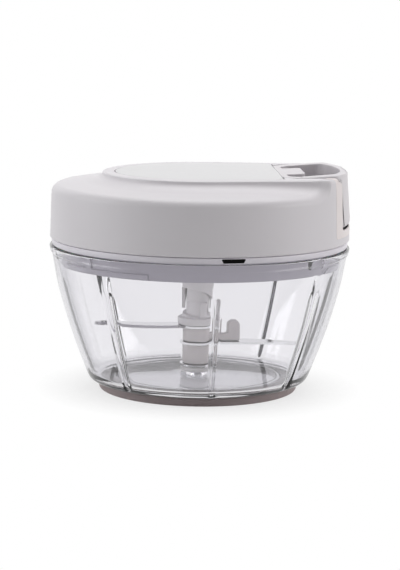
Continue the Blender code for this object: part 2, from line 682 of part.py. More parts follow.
def build_spacer(name, low, length, angle):
    """A spacer tube with a carrier arm and an upright finger over the blade under it."""
    spacer = revolve(name, [
        (CORE_RADIUS + SEAT_GAP, low),
        (COLUMN_RADIUS, low),
        (COLUMN_RADIUS, low + length),
        (CORE_RADIUS + SEAT_GAP, low + length),
    ], MEDIUM)
    start = (CORE_RADIUS + SEAT_GAP + COLUMN_RADIUS) / 2
    finger = CARRIER_REACH - FINGER_WIDTH
    arm = prism(f"{name}_arm_form", rounded([
        (start, low + 0.1 * mm, 0),
        (CARRIER_REACH, low + 0.1 * mm, 0),
        (CARRIER_REACH, low + FINGER_HEIGHT, 1.5 * mm),
        (finger, low + FINGER_HEIGHT, 1.5 * mm),
        (finger, low + CARRIER_THICKNESS, 0),
        (start, low + CARRIER_THICKNESS, 0),
    ]), -CARRIER_WIDTH / 2, CARRIER_WIDTH / 2, 'Y')
    join(spacer, turned(arm, angle))
    return spacer


def build_blade(name, z, length, angle):
    """A stamped blade: an eye for the tower's core and a swept arm with a ground leading edge."""
    half = 40 * deg
    eye = arc((0, 0), BLADE_EYE, half, 2 * math.pi - half, 16)
    root = BLADE_EYE * math.sin(half)
    trailing = []
    leading = []
    for k in range(1, 8):
        t = k / 7
        x = BLADE_EYE * math.cos(half) + (length - BLADE_EYE * math.cos(half)) * t
        sweep = -BLADE_SWEEP * t ** 2
        trailing.append((x - 2 * mm * t, -root * (1 - 0.45 * t) + sweep * 0.7))
        leading.append((x, root * (1 - 0.2 * t) + 2.5 * mm * math.sin(math.pi * t) + sweep))
    outline = eye + trailing + leading[::-1]
    ground = []
    for x, y in outline:
        if (x, y) in leading:
            ground.append((x - BLADE_BEVEL * 0.2, y - BLADE_BEVEL))
        else:
            ground.append((x, y))
    blade = loft(name, [
        [(x, y, z) for x, y in outline],
        [(x, y, z + 0.15 * mm) for x, y in outline],
        [(x, y, z + BLADE_THICKNESS) for x, y in ground],
    ], "steel")
    turned(blade, angle)
    cut(blade, cylinder(f"{name}_eye_form", CORE_RADIUS + SEAT_GAP, z - 2 * mm, z + 3 * mm, MEDIUM))
    return blade


# Lid base

def ledge_stations(shift):
    """(angle, top) pairs along a ledge: a ramp, a level run, and a stop that the lug meets when locked."""
    lug_end = LUG_ANGLES[0] + LUG_HALF_ANGLE
    stop = lug_end + LOCK_ANGLE + 0.6 * deg - LEDGE_START
    low = LEDGE_TOP - LEDGE_LEAD
    stop_top = LUG_LOW + LUG_HEIGHT
    profile = [(0, low)]
    profile += [(LEDGE_RAMP * t, low + LEDGE_LEAD * math.sin(t * math.pi / 2)) for t in (0.25, 0.5, 0.75, 1)]
    profile += [(stop - 4 * deg, LEDGE_TOP), (stop, LEDGE_TOP), (stop + 0.3 * deg, stop_top)]
    profile += [(stop + STOP_SPAN, stop_top), (stop + STOP_SPAN + 0.3 * deg, LEDGE_TOP)]
    rest = LEDGE_SPAN - stop - STOP_SPAN
    profile += [(stop + STOP_SPAN + rest * t, LEDGE_TOP) for t in (0.25, 0.5, 0.75, 1)]
    return [(LEDGE_START + shift + angle, top) for angle, top in profile]


def build_lid_base():
    groove_outer = FLANGE_RADIUS - FLANGE_LIP
    groove_inner = groove_outer - GASKET_WIDTH - 2 * SEAT_GAP
    groove_top = GASKET_BOTTOM + GASKET_HEIGHT + SEAT_GAP
    rib_outer = COVER_RADIUS - COVER_WALL - SEAT_GAP
    inner = SKIRT_RADIUS - SKIRT_WALL
    base = revolve("lid_base", [
        (TUBE_BORE, TUBE_LOW),
        (TUBE_RADIUS, TUBE_LOW),
        (TUBE_RADIUS, PLATE_HEIGHT),
        (inner, PLATE_HEIGHT),
        (inner, SKIRT_BOTTOM),
        (SKIRT_RADIUS, SKIRT_BOTTOM),
        (SKIRT_RADIUS, GASKET_BOTTOM),
        (groove_inner, GASKET_BOTTOM),
        (groove_inner, groove_top),
        (groove_outer, groove_top),
        (groove_outer, RIM_HEIGHT + RUN_GAP),
        (FLANGE_RADIUS, RIM_HEIGHT + RUN_GAP),
        (FLANGE_RADIUS, FLANGE_TOP),
        (rib_outer, FLANGE_TOP),
        (rib_outer, FLANGE_TOP + LOCATING_RIB_HEIGHT),
        (rib_outer - LOCATING_RIB_WIDTH, FLANGE_TOP + LOCATING_RIB_HEIGHT),
        (rib_outer - LOCATING_RIB_WIDTH, FLANGE_TOP),
        (inner, FLANGE_TOP),
        (inner, PLATE_TOP),
        (TUBE_RADIUS, PLATE_TOP),
        (TUBE_RADIUS, BUSH_FLANGE_Z - SEAT_GAP),
        (TUBE_BORE, BUSH_FLANGE_Z - SEAT_GAP),
    ], LARGE)
    for number, angle in enumerate(LUG_ANGLES):
        rings = []
        for station, top in ledge_stations(angle - LUG_ANGLES[0]):
            c, s = math.cos(station), math.sin(station)
            deep = SKIRT_RADIUS - SKIRT_WALL / 2
            rings.append([
                (deep * c, deep * s, SKIRT_BOTTOM + 0.2 * mm),
                (LEDGE_RADIUS * c, LEDGE_RADIUS * s, SKIRT_BOTTOM + 0.2 * mm),
                (LEDGE_RADIUS * c, LEDGE_RADIUS * s, top),
                (deep * c, deep * s, top),
            ])
        join(base, loft(f"ledge_form_{number}", rings))

    slot_low = RIM_HEIGHT + RUN_GAP + 0.4 * mm
    slot_high = FLANGE_TOP - 0.4 * mm
    half = SLOT_WIDTH / 2
    slot = prism("slot_form", [
        (-half + SLOT_TAPER, slot_low),
        (half - SLOT_TAPER, slot_low),
        (half, slot_high),
        (-half, slot_high),
    ], groove_outer - 0.5 * mm, FLANGE_RADIUS + 2 * mm, 'X')
    cut(base, turned(slot, SLOT_ANGLE))
    for number, place in enumerate(boss_places()):
        hole = cylinder(f"plate_hole_form_{number}", SCREW_SHANK + RUN_GAP, PLATE_HEIGHT - 2 * mm,
                        PLATE_TOP + 2 * mm, SMALL)
        cut(base, turned(hole, 0, place))
    return base


def boss_places():
    return [(BOSS_CIRCLE * math.cos(angle), BOSS_CIRCLE * math.sin(angle), 0) for angle in BOSS_ANGLES]


def build_gasket():
    outer = FLANGE_RADIUS - FLANGE_LIP - SEAT_GAP
    revolve("lid_gasket", [
        (outer - GASKET_WIDTH, GASKET_BOTTOM),
        (outer, GASKET_BOTTOM),
        (outer, GASKET_BOTTOM + GASKET_HEIGHT),
        (outer - GASKET_WIDTH, GASKET_BOTTOM + GASKET_HEIGHT),
    ], LARGE, "silicone")


# Lid cover

def plateau_height(x):
    return PLATEAU_TOP + PLATEAU_SLOPE * x


def side_radius(z):
    """Radius of the cover's drafted side."""
    return COVER_RADIUS - COVER_DRAFT * (z - COVER_BOTTOM)


def stadium(radius, right, steps=18):
    """Half circle about the lid's axis on the left, sides that close in and a square end on the right."""
    side = side_at(radius, right)
    return arc((0, 0), radius, math.pi / 2 - PLATEAU_TAPER, 3 * math.pi / 2 + PLATEAU_TAPER, steps) + [
        (right, -side), (right, side)]


def side_at(radius, x):
    """Half width of a form with the plateau's outline, at a distance to the right of the lid's axis."""
    return (radius - x * math.sin(PLATEAU_TAPER)) / math.cos(PLATEAU_TAPER)


def tilted_prism(name, outline, low, high, finish="pale_grey"):
    """A slab that follows the plateau's slope, between two offsets from the plateau's top."""
    return loft(name, [
        [(x, y, plateau_height(x) + offset) for x, y in outline]
        for offset in (low, high)
    ], finish)


def wing_profile(grow, floor):
    """Half-open T outline of the pocket in (y, z), grown outwards by a margin."""
    half = POCKET_HALF + grow
    wing = WING_HALF + grow
    across = WING_HALF - POCKET_HALF - grow
    up = WING_HIGH - WING_LOW - grow
    last = math.acos(max(0, (WING_HALF - wing) / across))
    flare = [
        (WING_HALF - across * math.cos(last * k / 6), WING_LOW + up * math.sin(last * k / 6))
        for k in range(7)
    ]
    if grow > 0:
        flare.append((wing, flare[-1][1]))
    top = PLATEAU_TOP + 20 * mm
    right = [(half - 1.5 * mm, floor), (half, floor + 1.5 * mm)] + flare + [(wing, top)]
    return right + [(-y, z) for y, z in reversed(right)]


def pocket_plan(grow, outer):
    """Plan outline of the pocket or the handle: round inner corners, open towards +X."""
    inner = POCKET_INNER - grow
    half = WING_HALF + grow
    corner = POCKET_CORNER + grow
    return rounded([
        (inner, -half, corner),
        (outer, -half, 0),
        (outer, half, 0),
        (inner, half, corner),
    ], 5)


def pocket_form(name, grow, floor, outer):
    start = POCKET_INNER - grow - 1 * mm
    form = prism(f"{name}_front_form", wing_profile(grow, floor), start, outer, 'X')
    plan = prism(f"{name}_plan_form", pocket_plan(grow, outer + 5 * mm), floor - 5 * mm,
                 PLATEAU_TOP + 30 * mm)
    keep_inside(form, plan)
    return form


def inlay_outline(grow, right):
    radius = INLAY_RADIUS + grow
    left = arc((0, 0), radius, math.pi / 2 - PLATEAU_TAPER, 3 * math.pi / 2 + PLATEAU_TAPER, 18)
    side = side_at(radius, right)
    ends = rounded([left[-1] + (0,), (right, -side, INLAY_CORNER), (right, side, INLAY_CORNER), left[0] + (0,)], 4)
    return left + ends[1:-1]


def step_share(margin):
    """Share of the plateau's height, at a distance outside its outline."""
    if margin <= STEP_EDGE - STEP_ROUND:
        return 1
    if margin < STEP_EDGE:
        across = (margin - STEP_EDGE + STEP_ROUND) / STEP_ROUND
        return STEP_SPLIT + (1 - STEP_SPLIT) * math.sqrt(1 - across ** 2)
    if margin < STEP_EDGE + STEP_FILLET:
        across = 1 - (margin - STEP_EDGE) / STEP_FILLET
        return STEP_SPLIT * (1 - math.sqrt(1 - across ** 2))
    return 0


def on_long_side(x, y):
    """Whether a place lies beside the plateau's straight sides and not its round end."""
    return x * math.cos(PLATEAU_TAPER) > abs(y) * math.sin(PLATEAU_TAPER)


def share_at(x, y):
    if on_long_side(x, y):
        return step_share(abs(y) * math.cos(PLATEAU_TAPER) + x * math.sin(PLATEAU_TAPER) - PLATEAU_RADIUS)
    return step_share(math.hypot(x, y) - PLATEAU_RADIUS)


def lid_top(x, y):
    """Height of the lid's top before its outer edge is rounded."""
    crown = CROWN_HEIGHT - CROWN_FALL * (math.hypot(x, y) - PLATEAU_RADIUS)
    return crown + share_at(x, y) * (plateau_height(x) - crown)


def cover_rings(columns, steps):
    """Rings of the cover's outside: its lower edge, the rounded shoulder, and the step up to the plateau."""
    angles = [2 * math.pi * k / columns for k in range(columns)]
    rings = [[], []]
    shoulder = [[] for _ in range(steps + 1)]
    margins = [STEP_EDGE + STEP_FILLET * (1 - math.sin(math.pi / 2 * k / steps)) for k in range(steps)]
    margins += [STEP_EDGE - STEP_ROUND * (1 - math.cos(math.pi / 2 * k / steps)) for k in range(steps + 1)]
    climb = [[] for _ in margins]
    for angle in angles:
        c, s = math.cos(angle), math.sin(angle)
        edge = side_radius(SHOULDER_HEIGHT)
        share = share_at(edge * c, edge * s)
        edge = side_radius(SHOULDER_HEIGHT + share * (PLATEAU_TOP - CROWN_HEIGHT))
        rounding = SHOULDER_RADIUS + share * (END_ROUND - SHOULDER_RADIUS)
        rings[0].append(((COVER_RADIUS - 0.4 * mm) * c, (COVER_RADIUS - 0.4 * mm) * s, COVER_BOTTOM))
        rings[1].append((COVER_RADIUS * c, COVER_RADIUS * s, COVER_BOTTOM + 0.4 * mm))
        for k, ring in enumerate(shoulder):
            turn = math.pi / 2 * (1 - k / steps)
            r = edge - rounding * (1 - math.sin(turn))
            ring.append((r * c, r * s, lid_top(r * c, r * s) - rounding * (1 - math.cos(turn))))
        for k, (margin, ring) in enumerate(zip(margins, climb)):
            r = PLATEAU_RADIUS + margin
            if on_long_side(c, s):
                along = abs(s) * math.cos(PLATEAU_TAPER) + c * math.sin(PLATEAU_TAPER)
                r = min(r / along, edge - SHOULDER_RADIUS - 0.6 * mm * (k + 1))
            ring.append((r * c, r * s, lid_top(r * c, r * s)))
    return rings + shoulder + climb


def build_cover():
    cover = loft("lid_cover", cover_rings(LARGE, 3))

    inner = side_radius(SHOULDER_HEIGHT) - COVER_WALL
    cavity = revolve("cavity_form", [
        (0, COVER_BOTTOM - 10 * mm),
        (COVER_RADIUS - COVER_WALL, COVER_BOTTOM - 10 * mm),
        (COVER_RADIUS - COVER_WALL, COVER_BOTTOM),
        (inner, SHOULDER_HEIGHT - 0.5 * mm),
        (inner - 1.5 * mm, SHOULDER_HEIGHT + 1 * mm),
        (0, CROWN_HEIGHT - COVER_WALL),
    ], LARGE)
    void_drop = INLAY_THICKNESS + SEAT_GAP + ROOF_THICKNESS
    void = tilted_prism("plateau_void_form", stadium(PLATEAU_RADIUS - COVER_WALL - 0.2 * mm, VOID_END),
                        -10 * mm, -void_drop)
    join(cavity, void)
    cut(cavity, pocket_form("pocket_shell", POCKET_WALL, POCKET_FLOOR - POCKET_WALL, COVER_RADIUS + 20 * mm))
    cut(cavity, cylinder("centre_boss_form", CENTRE_BOSS_RADIUS, CENTRE_BOSS_Z, PLATEAU_TOP + 5 * mm, MEDIUM))
    for number, place in enumerate(boss_places()):
        boss = cylinder(f"boss_form_{number}", BOSS_RADIUS, PLATE_TOP + SEAT_GAP, PLATEAU_TOP, SMALL)
        cut(cavity, turned(boss, 0, place))
    cut(cover, cavity)

    cut(cover, pocket_form("pocket", 0, POCKET_FLOOR, COVER_RADIUS + 10 * mm))
    recess = tilted_prism("inlay_recess_form", inlay_outline(SEAT_GAP, POCKET_INNER + 0.6 * mm),
                          -INLAY_THICKNESS - SEAT_GAP, 5 * mm)
    cut(cover, recess)
    cut(cover, cylinder("axle_seat_form", AXLE_RADIUS + SEAT_GAP, CENTRE_BOSS_Z - 2 * mm,
                        AXLE_TOP + SEAT_GAP, SMALL))
    for number, place in enumerate(boss_places()):
        bore = cylinder(f"boss_bore_form_{number}", SCREW_SHANK + SEAT_GAP, PLATE_TOP - 2 * mm,
                        PLATE_HEIGHT - SEAT_GAP + SCREW_LENGTH + SEAT_GAP, SMALL)
        cut(cover, turned(bore, 0, place))
    hole = cylinder("eyelet_hole_form", EYELET_RADIUS + SEAT_GAP, POCKET_INNER - POCKET_WALL - 2 * mm,
                    POCKET_INNER + 2 * mm, SMALL)
    cut(cover, along_x(hole))
    return cover


def along_x(obj):
    """Lay a piece turned about Z along X, at the height of the cord."""
    obj.rotation_euler = (0, math.pi / 2, 0)
    obj.location = (0, 0, CORD_HEIGHT)
    return obj


def build_inlay():
    return tilted_prism("top_inlay", inlay_outline(0, POCKET_INNER - SEAT_GAP), -INLAY_THICKNESS, 0, "inlay")


# Handle

def handle_side():
    """Side outline in (x, z): a top that rises towards the grip and a bottom that steps up behind it."""
    inner = INNER_EDGE - 2 * mm
    rise_start = INNER_EDGE + INNER_BAR
    rise_end = HANDLE_FACE_HIGH - GRIP_THICKNESS - 3 * mm
    top = [(inner, plateau_height(inner))]
    for k in range(7):
        t = k / 6
        x = rise_start + (rise_end - rise_start) * t
        top.append((x, plateau_height(x) + HANDLE_RISE * (3 * t ** 2 - 2 * t ** 3)))
    crest = plateau_height(rise_end) + HANDLE_RISE
    centre = (HANDLE_FACE_HIGH - HANDLE_ROUND, crest - HANDLE_ROUND)
    top += arc(centre, HANDLE_ROUND, math.pi / 2, 0, 4)
    edge = HANDLE_FACE_HIGH + 4 * mm
    bottom_step = 7 * mm
    grip_inner = HANDLE_FACE_HIGH - GRIP_THICKNESS
    return top + [
        (HANDLE_FACE_HIGH + 0.3 * mm, crest - 3 * HANDLE_ROUND),
        (edge, crest - 3.5 * HANDLE_ROUND),
        (edge, HANDLE_BOTTOM),
        (grip_inner - 4 * mm, HANDLE_BOTTOM),
        (grip_inner - 11 * mm, HANDLE_BOTTOM + bottom_step),
        (inner, HANDLE_BOTTOM + bottom_step),
    ]


def opening_outline():
    """Finger opening, with its outer side parallel to the grip's face."""
    inner = INNER_EDGE + INNER_BAR
    radius = HANDLE_FACE_HIGH - GRIP_THICKNESS
    reach = math.asin(OPENING_HALF / radius)
    corner = radius * math.cos(reach)
    curve = [(x, y, 0) for x, y in arc((0, 0), radius, -reach * 0.6, reach * 0.6, 6)]
    return rounded(
        [(inner, -OPENING_HALF, 6 * mm), (corner, -OPENING_HALF, 5 * mm)]
        + curve
        + [(corner, OPENING_HALF, 5 * mm), (inner, OPENING_HALF, 6 * mm)]
    )


def build_handle():
    outer = HANDLE_FACE_LOW + 5 * mm
    handle = prism("pull_handle", wing_profile(-RUN_GAP, HANDLE_BOTTOM), INNER_EDGE - 1 * mm, outer, 'X')
    keep_inside(handle, prism("handle_plan_form", pocket_plan(-RUN_GAP, outer + 2 * mm),
                              HANDLE_BOTTOM - 5 * mm, PLATEAU_TOP + 30 * mm))
    keep_inside(handle, prism("handle_side_form", handle_side(), -WING_HALF - 5 * mm, WING_HALF + 5 * mm, 'Y'))
    keep_inside(handle, revolve("handle_face_form", [
        (0, HANDLE_BOTTOM - 2 * mm),
        (HANDLE_FACE_LOW - 1.2 * mm, HANDLE_BOTTOM - 2 * mm),
        (HANDLE_FACE_LOW - 1.2 * mm, HANDLE_BOTTOM - 0.2 * mm),
        (HANDLE_FACE_LOW, HANDLE_BOTTOM + 1.2 * mm),
        (HANDLE_FACE_HIGH, PLATEAU_TOP - 1 * mm),
        (HANDLE_FACE_HIGH, PLATEAU_TOP + 5 * mm),
        (0, PLATEAU_TOP + 5 * mm),
    ], LARGE))
    cut(handle, prism("opening_form", opening_outline(), HANDLE_BOTTOM - 10 * mm, PLATEAU_TOP + 10 * mm))

    tip = INNER_EDGE + INNER_BAR + TONGUE_REACH
    tongue = prism("tongue_form", rounded([
        (INNER_EDGE + INNER_BAR / 2, -TONGUE_HALF, 0),
        (tip, -TONGUE_HALF, 5 * mm),
        (tip, TONGUE_HALF, 5 * mm),
        (INNER_EDGE + INNER_BAR / 2, TONGUE_HALF, 0),
    ]), PLATEAU_TOP - TONGUE_DEPTH, PLATEAU_TOP + 0.55 * mm)
    join(handle, tongue)
    chamber = FERRULE_LENGTH + 2 * SEAT_GAP
    start = FERRULE_X - SEAT_GAP
    cut(handle, prism("ferrule_chamber_form", [
        (start, -FERRULE_RADIUS - RUN_GAP),
        (start + chamber, -FERRULE_RADIUS - RUN_GAP),
        (start + chamber, FERRULE_RADIUS + RUN_GAP),
        (start, FERRULE_RADIUS + RUN_GAP),
    ], HANDLE_BOTTOM, CORD_HEIGHT + FERRULE_RADIUS + SEAT_GAP))
    bore = cylinder("handle_bore_form", CORD_RADIUS + RUN_GAP, INNER_EDGE - 3 * mm, start + 1 * mm, SMALL)
    cut(handle, along_x(bore))
    return handle



def build_ferrule():
    return along_x(cylinder("cord_ferrule", FERRULE_RADIUS, FERRULE_X, FERRULE_X + FERRULE_LENGTH, SMALL, "brass"))


def build_eyelet():
    face = POCKET_INNER - POCKET_WALL - SEAT_GAP
    flare = 0.6 * mm
    back = face - EYELET_FLANGE_THICKNESS
    front = POCKET_INNER - 0.1 * mm
    eyelet = revolve("cord_eyelet", [
        (EYELET_BORE + flare, back),
        (EYELET_FLANGE, back),
        (EYELET_FLANGE, face),
        (EYELET_RADIUS, face),
        (EYELET_RADIUS, front),
        (EYELET_BORE + flare, front),
        (EYELET_BORE, front - 2 * flare),
        (EYELET_BORE, back + 2 * flare),
    ], SMALL, "steel")
    return along_x(eyelet)


# Cord

def add_tube(name, points, radius, resolution, finish):
    curve = bpy.data.curves.new(name, 'CURVE')
    curve.dimensions = '3D'
    curve.bevel_depth = radius
    curve.bevel_resolution = resolution
    curve.use_fill_caps = True
    spline = curve.splines.new('POLY')
    spline.points.add(len(points) - 1)
    for point, place in zip(spline.points, points):
        point.co = (*place, 1)
    return add_object(name, curve, finish)


def cord_leave():
    """Where the cord leaves the drum, and the direction that it takes to the turn before the eyelet."""
    angle = -math.acos(CORD_ORBIT / CORD_CORNER)
    point = Vector((CORD_ORBIT * math.cos(angle), CORD_ORBIT * math.sin(angle), CORD_HEIGHT))
    direction = Vector((-math.sin(angle), math.cos(angle), 0))
    return angle, point, direction


def build_winding():
    """The cord on the drum: one helix that climbs to the height where the cord leaves."""
    end_angle, point, direction = cord_leave()
    count = round(CORD_TURNS * 24)
    points = []
    for k in range(count + 1):
        back = (count - k) / 24
        angle = end_angle - back * 2 * math.pi
        points.append(Vector((CORD_ORBIT * math.cos(angle), CORD_ORBIT * math.sin(angle),
                              CORD_HEIGHT - back * CORD_PITCH)))
    points.append(point + direction * CORD_RADIUS * 2)
    near = min((a - b).length for i, a in enumerate(points) for b in points[i + 12:])
    print(f"cord_winding: least gap to itself {(near - 2 * CORD_RADIUS) / mm:.2f} mm")
    return add_tube("cord_winding", points, CORD_RADIUS, 1, "cord")


def build_cord():
    """The free run: off the drum, round the turn, through the eyelet and into the handle."""
    angle, point, direction = cord_leave()
    start = point + direction * (CORD_RADIUS * 2 + SEAT_GAP)
    corner = Vector((CORD_CORNER, 0, CORD_HEIGHT))
    ease = 1.9 * mm
    before = corner - direction * ease
    after = corner + Vector((ease, 0, 0))
    end = Vector((FERRULE_X - SEAT_GAP, 0, CORD_HEIGHT))
    points = [start.lerp(before, k / 4) for k in range(4)]
    for k in range(7):
        t = k / 6
        points.append(before * (1 - t) ** 2 + corner * 2 * t * (1 - t) + after * t ** 2)
    points += [after.lerp(end, k / 4) for k in range(1, 5)]
    return add_tube("pull_cord", points, CORD_RADIUS, 2, "cord")


# Drum, spring, clutch and hub

def build_spool():
    inner = DRUM_RADIUS - DRUM_WALL
    bore = AXLE_RADIUS + SEAT_GAP
    nose = AXLE_RADIUS + 2.1 * mm
    spool = revolve("cord_spool", [
        (bore, HUB_FLOOR_TOP + RUN_GAP),
        (nose, HUB_FLOOR_TOP + RUN_GAP),
        (nose, DRUM_Z),
        (DRUM_FLANGE, DRUM_Z),
        (DRUM_FLANGE, DRUM_FLOOR_Z),
        (DRUM_RADIUS, DRUM_FLOOR_Z),
        (DRUM_RADIUS, DRUM_TOP),
        (inner, DRUM_TOP),
        (inner, DRUM_FLOOR_Z),
        (bore, DRUM_FLOOR_Z),
    ], MEDIUM, "nylon")
    for number in range(2):
        angle = PAWL_ANGLE + number * math.pi
        pin = cylinder(f"pawl_pin_form_{number}", PAWL_PIN, PAWL_Z, DRUM_Z + DRUM_FLANGE_THICKNESS / 2, SMALL)
        join(spool, turned(pin, 0, pawl_place(angle)))
    return spool


def pawl_place(angle):
    return (PAWL_PIVOT * math.cos(angle), PAWL_PIVOT * math.sin(angle), 0)


def build_spool_cap():
    bore = AXLE_RADIUS + SEAT_GAP
    lip = DRUM_RADIUS - DRUM_WALL - SEAT_GAP
    revolve("spool_cap", [
        (bore, CAP_Z),
        (lip - 1.2 * mm, CAP_Z),
        (lip - 1.2 * mm, CAP_Z - 0.7 * mm),
        (lip, CAP_Z - 0.7 * mm),
        (lip, CAP_Z),
        (DRUM_FLANGE, CAP_Z),
        (DRUM_FLANGE, CAP_TOP),
        (bore, CAP_TOP),
    ], MEDIUM, "nylon")


def build_spring():
    """The rewinding spring: a flat strip wound in an even spiral from the axle to the drum."""
    half = SPRING_THICKNESS / 2
    start = AXLE_RADIUS + SEAT_GAP + half
    end = DRUM_RADIUS - DRUM_WALL - SEAT_GAP - half
    low = DRUM_FLOOR_Z + SEAT_GAP
    count = SPRING_TURNS * 14
    rings = []
    for k in range(count + 1):
        radius = start + (end - start) * k / count
        angle = 2 * math.pi * k / 14
        c, s = math.cos(angle), math.sin(angle)
        rings.append([
            ((radius - half) * c, (radius - half) * s, low),
            ((radius + half) * c, (radius + half) * s, low),
            ((radius + half) * c, (radius + half) * s, low + SPRING_WIDTH),
            ((radius - half) * c, (radius - half) * s, low + SPRING_WIDTH),
        ])
    return loft("main_spring", rings, "steel")


def build_axle():
    axle = cylinder("centre_axle", AXLE_RADIUS, AXLE_BOTTOM, AXLE_TOP, SMALL, "steel")
    thread = cylinder("axle_thread_form", AXLE_THREAD + SEAT_GAP, AXLE_BOTTOM - 2 * mm,
                      AXLE_BOTTOM + 5.5 * mm, SMALL)
    cut(axle, thread)
    return axle



def build_retainer():
    washer_top = AXLE_BOTTOM - SEAT_GAP
    washer_low = washer_top - 0.9 * mm
    revolve("retaining_washer", [
        (AXLE_THREAD + SEAT_GAP, washer_low),
        (HUB_BORE - 0.7 * mm, washer_low),
        (HUB_BORE - 0.7 * mm, washer_top),
        (AXLE_THREAD + SEAT_GAP, washer_top),
    ], SMALL, "steel")
    head_top = washer_low - SEAT_GAP
    revolve("retaining_screw", [
        (0, head_top - 2.1 * mm),
        (2.6 * mm, head_top - 2.1 * mm),
        (3.6 * mm, head_top - 1.2 * mm),
        (3.6 * mm, head_top),
        (AXLE_THREAD, head_top),
        (AXLE_THREAD, AXLE_BOTTOM + 5 * mm),
        (0, AXLE_BOTTOM + 5 * mm),
    ], SMALL, "steel")


def tooth_outline():
    """Inner saw teeth of the clutch: each rises slowly to its root and steps back to its tip."""
    points = []
    for k in range(TOOTH_COUNT):
        start = TOOTH_PHASE + 2 * math.pi * k / TOOTH_COUNT
        pitch = 2 * math.pi / TOOTH_COUNT
        for share in (0, 0.33, 0.66, 0.98):
            radius = TOOTH_TIP + (TOOTH_ROOT - TOOTH_TIP) * share
            points.append((radius * math.cos(start + pitch * share), radius * math.sin(start + pitch * share)))
    return points


def sleeve_edge(angle):
    """Lower edge of the hub's sleeve: two curved ramps that fall to a tip and step back up."""
    along = (angle - SLEEVE_RAMP_START) % math.pi
    if along >= SLEEVE_RAMP_SPAN:
        return SLEEVE_EDGE_HIGH
    t = along / SLEEVE_RAMP_SPAN
    return SLEEVE_EDGE_LOW + (SLEEVE_EDGE_HIGH - SLEEVE_EDGE_LOW) * math.sqrt(max(0, 1 - t ** 2))


def build_hub():
    shaft_low = PLATE_HEIGHT - HUB_SHAFT_DROP
    bore = AXLE_RADIUS + SEAT_GAP
    hub = revolve("drive_hub", [
        (HUB_BORE, SLEEVE_EDGE_LOW - 0.2 * mm),
        (SLEEVE_RADIUS, SLEEVE_EDGE_LOW - 0.2 * mm),
        (SLEEVE_RADIUS, shaft_low),
        (HUB_SHAFT, shaft_low),
        (HUB_SHAFT, HUB_Z),
        (HUB_RADIUS, HUB_Z),
        (HUB_RADIUS, HUB_TOP),
        (bore, HUB_TOP),
        (bore, AXLE_BOTTOM),
        (HUB_BORE, AXLE_BOTTOM),
    ], MEDIUM, "nylon")
    cut(hub, prism("clutch_form", tooth_outline(), HUB_FLOOR_TOP, HUB_TOP + 2 * mm))
    marks = []
    for side in (0, math.pi):
        edge = SLEEVE_RAMP_START + SLEEVE_RAMP_SPAN + side
        marks += [edge - 12 * deg, edge - 5 * deg, edge - 0.4 * deg, edge + 0.4 * deg]
    low = SLEEVE_EDGE_LOW - 5 * mm
    waste = wavy_ring("sleeve_waste_form", HUB_BORE - 1.5 * mm, SLEEVE_RADIUS + 1.5 * mm,
                      lambda angle: low, sleeve_edge, step_angles(36, marks))
    cut(hub, waste)
    return hub


def build_pawl(name, angle):
    """A clutch pawl: an eye on the spool's pin and a lever whose tip lies in a tooth gap."""
    tip = angle + 39 * deg
    eye = Vector(pawl_place(angle)[:2])
    far = [
        Vector((math.cos(a), math.sin(a))) * r
        for r, a in ((TOOTH_TIP + 1.1 * mm, tip), (TOOTH_TIP - 0.6 * mm, tip + 0.5 * deg),
                     (TOOTH_TIP + 0.2 * mm, tip - 9 * deg))
    ]
    towards = (far[0] - eye).normalized()
    heading = math.atan2(towards.y, towards.x)
    back = arc(eye, PAWL_EYE, heading + 70 * deg, heading + 290 * deg, 10)
    outline = back + [tuple(far[2]), tuple(far[0]), tuple(far[1])]
    pawl = prism(name, outline, PAWL_Z, PAWL_Z + PAWL_THICKNESS, finish="nylon")
    hole = cylinder(f"{name}_eye_form", PAWL_PIN + SEAT_GAP, PAWL_Z - 2 * mm, DRUM_Z, SMALL)
    cut(pawl, turned(hole, 0, pawl_place(angle)))
    return pawl


def build_bush():
    revolve("hub_bush", [
        (BUSH_BORE, BUSH_FLANGE_Z - BUSH_LENGTH),
        (BUSH_RADIUS, BUSH_FLANGE_Z - BUSH_LENGTH),
        (BUSH_RADIUS, BUSH_FLANGE_Z),
        (TUBE_RADIUS, BUSH_FLANGE_Z),
        (TUBE_RADIUS, HUB_Z - SEAT_GAP),
        (BUSH_BORE, HUB_Z - SEAT_GAP),
    ], MEDIUM, "nylon")


def build_housing_screws():
    for number, place in enumerate(boss_places()):
        head_top = PLATE_HEIGHT - SEAT_GAP
        screw = revolve(f"housing_screw_{number + 1}", [
            (0, head_top - SCREW_HEAD_HEIGHT),
            (SCREW_HEAD - 0.8 * mm, head_top - SCREW_HEAD_HEIGHT),
            (SCREW_HEAD, head_top - SCREW_HEAD_HEIGHT / 2),
            (SCREW_HEAD, head_top),
            (SCREW_SHANK, head_top),
            (SCREW_SHANK, head_top + SCREW_LENGTH),
            (0, head_top + SCREW_LENGTH),
        ], 12, "steel")
        turned(screw, 0, place)


